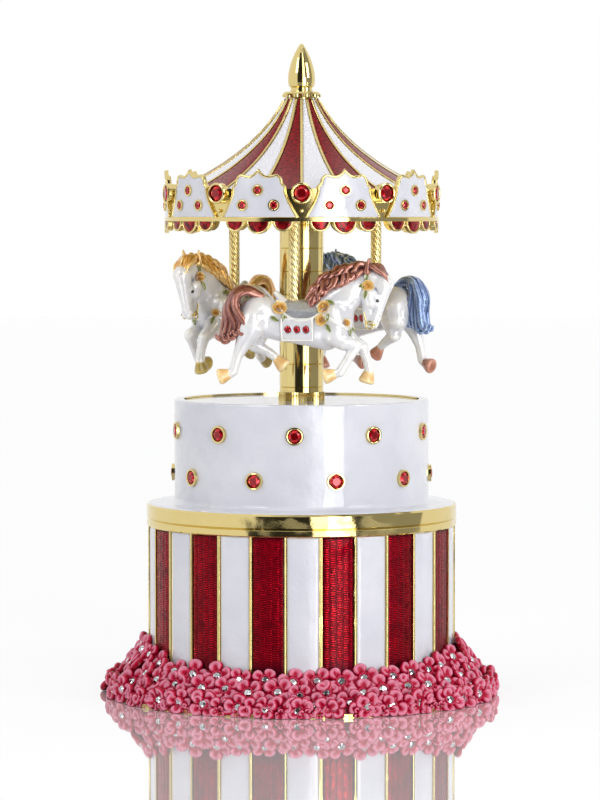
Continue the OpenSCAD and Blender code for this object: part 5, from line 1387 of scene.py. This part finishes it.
def rose_shape():
    """Three whorls of rounded petals round a bud, one unit across its radius."""
    parts = []
    for count, radius, height, tip, phase in ((6, 1.0, 0.15, 0.42, 0), (5, 0.68, 0.38, 0.70, 0.5),
                                              (3, 0.4, 0.6, 0.92, 0.2)):
        for k in range(count):
            s, t = np.meshgrid(np.linspace(0, 1, 4), np.linspace(-1, 1, 5), indexing="ij")
            a = (k + phase) * TAU / count + t * 0.62 * TAU / count
            r = radius * (0.35 + 0.65 * s * (1 - 0.18 * t * t))
            z = height * 0.4 + (tip - height * 0.4) * s ** 0.7 - 0.16 * t * t
            points = np.stack([r * np.cos(a), r * np.sin(a), 1.4 * z], -1).reshape(-1, 3)
            # Shade runs from painted shade at each petal's base, deep in the rose, to painted light at its
            # tip.
            parts.append((points, grid_faces(4, 5, False)[:, ::-1], (0.3 + 0.7 * s ** 1.5).ravel()))
    parts.append((np.array([(0.3, 0, 0.6), (0, 0.3, 0.6), (-0.3, 0, 0.6), (0, -0.3, 0.6), (0, 0, 1.2)]),
                  np.array([(0, 1, 4), (1, 2, 4), (2, 3, 4), (3, 0, 4)]), np.full(5, 0.6)))
    return gather(parts)


def leaf_shape():
    s, t = np.meshgrid(np.linspace(0, 1, 7), np.linspace(-1, 1, 5), indexing="ij")
    wide = 0.46 * np.sin(np.pi * s ** 0.8) ** 0.9
    arch = 0.6 * s * (1 - s) + 0.22 * np.abs(t) + 0.12
    top = np.stack([wide * t, 2.0 * s - 0.3, arch], -1).reshape(-1, 3)
    under = top - (0, 0, 0.22)
    faces = grid_faces(7, 5, False)
    loop = np.array([*range(5), *range(9, 35, 5), *range(33, 29, -1), *range(25, 0, -5)])
    after = np.roll(loop, -1)
    edge = np.stack([loop + 35, after + 35, after, loop], -1)
    # Shade is painted shade along the leaf's middle and painted light on its raised edges.
    shade = (0.25 + 0.7 * np.abs(t)).ravel()
    return np.concatenate([top, under]), np.concatenate([faces, faces[:, ::-1] + 35, edge]), np.tile(shade, 2)


ROSES = ((-3.7, -0.6, 2.1), (8.75, -0.25, 1.95), (7.9, -3.5, 1.75), (14.2, -4.3, 1.2), (20.15, 5.7, 1.7))
LEAVES = ((-5.7, -2.8, 120), (-2.1, -1.9, 200), (10.8, 0.8, 300), (6.6, -1.6, 60), (9.8, -2.1, 200),
          (9.4, -4.9, 150), (14.9, -5.7, 160), (18.0, 5.6, 80), (19.8, 4.0, 180), (19.7, 7.4, 10))
fittings = {"rose": [], "leaf": [], "stone": [], "eye": []}
for s in SIDES:
    for x, z, r in ROSES:
        p, n = on_skin(x, z, s)
        fittings["rose"].append(seats(p - n * 0.1, n, 20 * x, r)[0])
    for x, z, spin in LEAVES:
        p, n = on_skin(x, z, s)
        fittings["leaf"].append(seats(p, n, s * spin, 1.3)[0])
    for x in (-1.4, 1.1, 3.6):
        p, n = on_skin(x, -6.1, s, cloth)
        fittings["stone"].append(seats(p, n, 11, 1.0)[0])
    p, n = on_skin(22.7, 1.7, s)
    fittings["eye"].append(seats(p - n * 0.1, n, 0, 1.0)[0])
fittings = {key: np.array(rows) for key, rows in fittings.items()}
print("fittings:", {key: len(rows) for key, rows in fittings.items()})

# %% [markdown]
# The tack's metal is thin gold: a bit ring at each corner of the mouth, and short straps from it round the
# muzzle. A strap's path is laid on the skin point by point, the same way as the roses, so it hugs every
# hollow.

# %% Straps
def strap(route, side, proud=0.12):
    path = through(route, 3 * len(route))
    return [on_skin(x, z, side, proud=proud)[0] + (0, side * 0.05, 0) for x, z in path]


ROUTES = ([(19.3, -4.3), (20.3, -4.7), (21.3, -4.9), (22.4, -4.8)],
          [(19.0, -1.6), (19.3, -3.0), (19.7, -4.4)])
straps = [strap(route, s) for s in SIDES for route in ROUTES]
bits = [[(20.6, s * (1.9 + 0.1 * math.cos(a)), -4.9) + np.array([1.0 * math.cos(a), 0, 1.0 * math.sin(a)])
         for a in np.linspace(0, TAU, 16, endpoint=False)] for s in SIDES]


# %% [markdown]
# One horse is now placed three times. Each copy turns to its own pole, and has hair and hooves of its own
# colour.

# %% Three horses
def to_box(points, turn, rise, yaw):
    """From the horse's own millimetres to the box's."""
    for spin, shift in ((yaw, (0, -POLE_RING, SEAT + rise)), (turn, (0, 0, 0))):
        a = math.radians(spin)
        rot = np.array([[math.cos(a), -math.sin(a), 0], [math.sin(a), math.cos(a), 0], [0, 0, 1]])
        points = np.asarray(points) @ rot.T + shift
    return points


def placed(rows, turn, rise, yaw):
    rows = rows.copy()
    rows[:, :3] = to_box(rows[:, :3], turn, rise, yaw)
    spin = Matrix.Rotation(math.radians(turn + yaw), 3, "Z")
    for row in rows:
        row[3:6] = (spin @ Euler(row[3:6]).to_matrix()).to_euler()
    return rows


PAINT = {"front": (copper_hair, hoof_ochre), "right": (blue_hair, hoof_copper),
         "left": (golden_hair, hoof_olive)}
for side, *where in HORSES:
    hair, hoof = PAINT[side]
    for part, material in (("body", horse_pearl), ("hooves", hoof), ("hair", hair), ("saddle", saddle_grey),
                           ("cloth", horse_pearl), ("trim", horse_pearl)):
        points, quads, shade = SCULPTED[part]
        piece(f"{side}_horse_{part}", to_box(points, *where), quads, material, "carousel", "pearl_casting",
              [f"{side}_horse"] if part == "body" else [], sharp=0, shade=shade)
    spots = {kind: placed(rows, *where) for kind, rows in fittings.items()}
    spread(f"{side}_horse_roses", rose_shape(), spots["rose"], rose, "carousel")
    spread(f"{side}_horse_leaves", leaf_shape(), spots["leaf"], leaf, "carousel")
    spread(f"{side}_horse_eyes", scaled(band(BEAD, steps=14), 1.05), spots["eye"], eye_dark, "carousel")
    spread(f"{side}_saddle_stones", scaled(stone, 0.98), spots["stone"], red_crystal, "carousel",
           ["saddle_crystals"] if side == "front" else [], sharp=None)
    spread(f"{side}_saddle_mouths", band(roll(1.1, 0.14), steps=20), spots["stone"], saddle_grey, "carousel")
    wires(f"{side}_bridle", [to_box(row, *where) for row in straps], 0.2, gold, "carousel",
          step=0.4)
    wires(f"{side}_bit_rings", [to_box(row, *where) for row in bits], 0.2, gold, "carousel",
          closed=True, step=0.3)

# %% [markdown]
# CAD solids that already have the right shape keep it and only get a finish. One table names the finish of
# each node; what it doesn't name falls back on the finish of its slot.

# %% Finishes of the CAD solids
BY_NODE = {"drum_shell": band_gold, "tier_flange": band_gold, "drum_foot": cast_gold, "tier_enamel": enamel,
           "turntable_enamel": enamel, "column_collar": gold, "canopy_roof": cast_gold, "base_plate": plate,
           "mainspring": blued}
BY_SLOT = {"gold_metal": gold, "red_enamel": scallop_red, "white_enamel": enamel, "flower_enamel": skirt_red,
           "clear_crystal": clear_crystal, "red_crystal": red_crystal, "pearl_casting": horse_pearl,
           "movement_brass": brass, "steel": steel, "spring_steel": blued, "plate": plate, "washer": steel}
for name, solid in nodes.items():
    for place in solid.material_slots:
        kind = place.material.name.split(".")[0] if place.material else ""
        place.material = BY_NODE.get(name) or BY_SLOT.get(kind, gold)
print("finishes on", len(nodes), "CAD nodes")
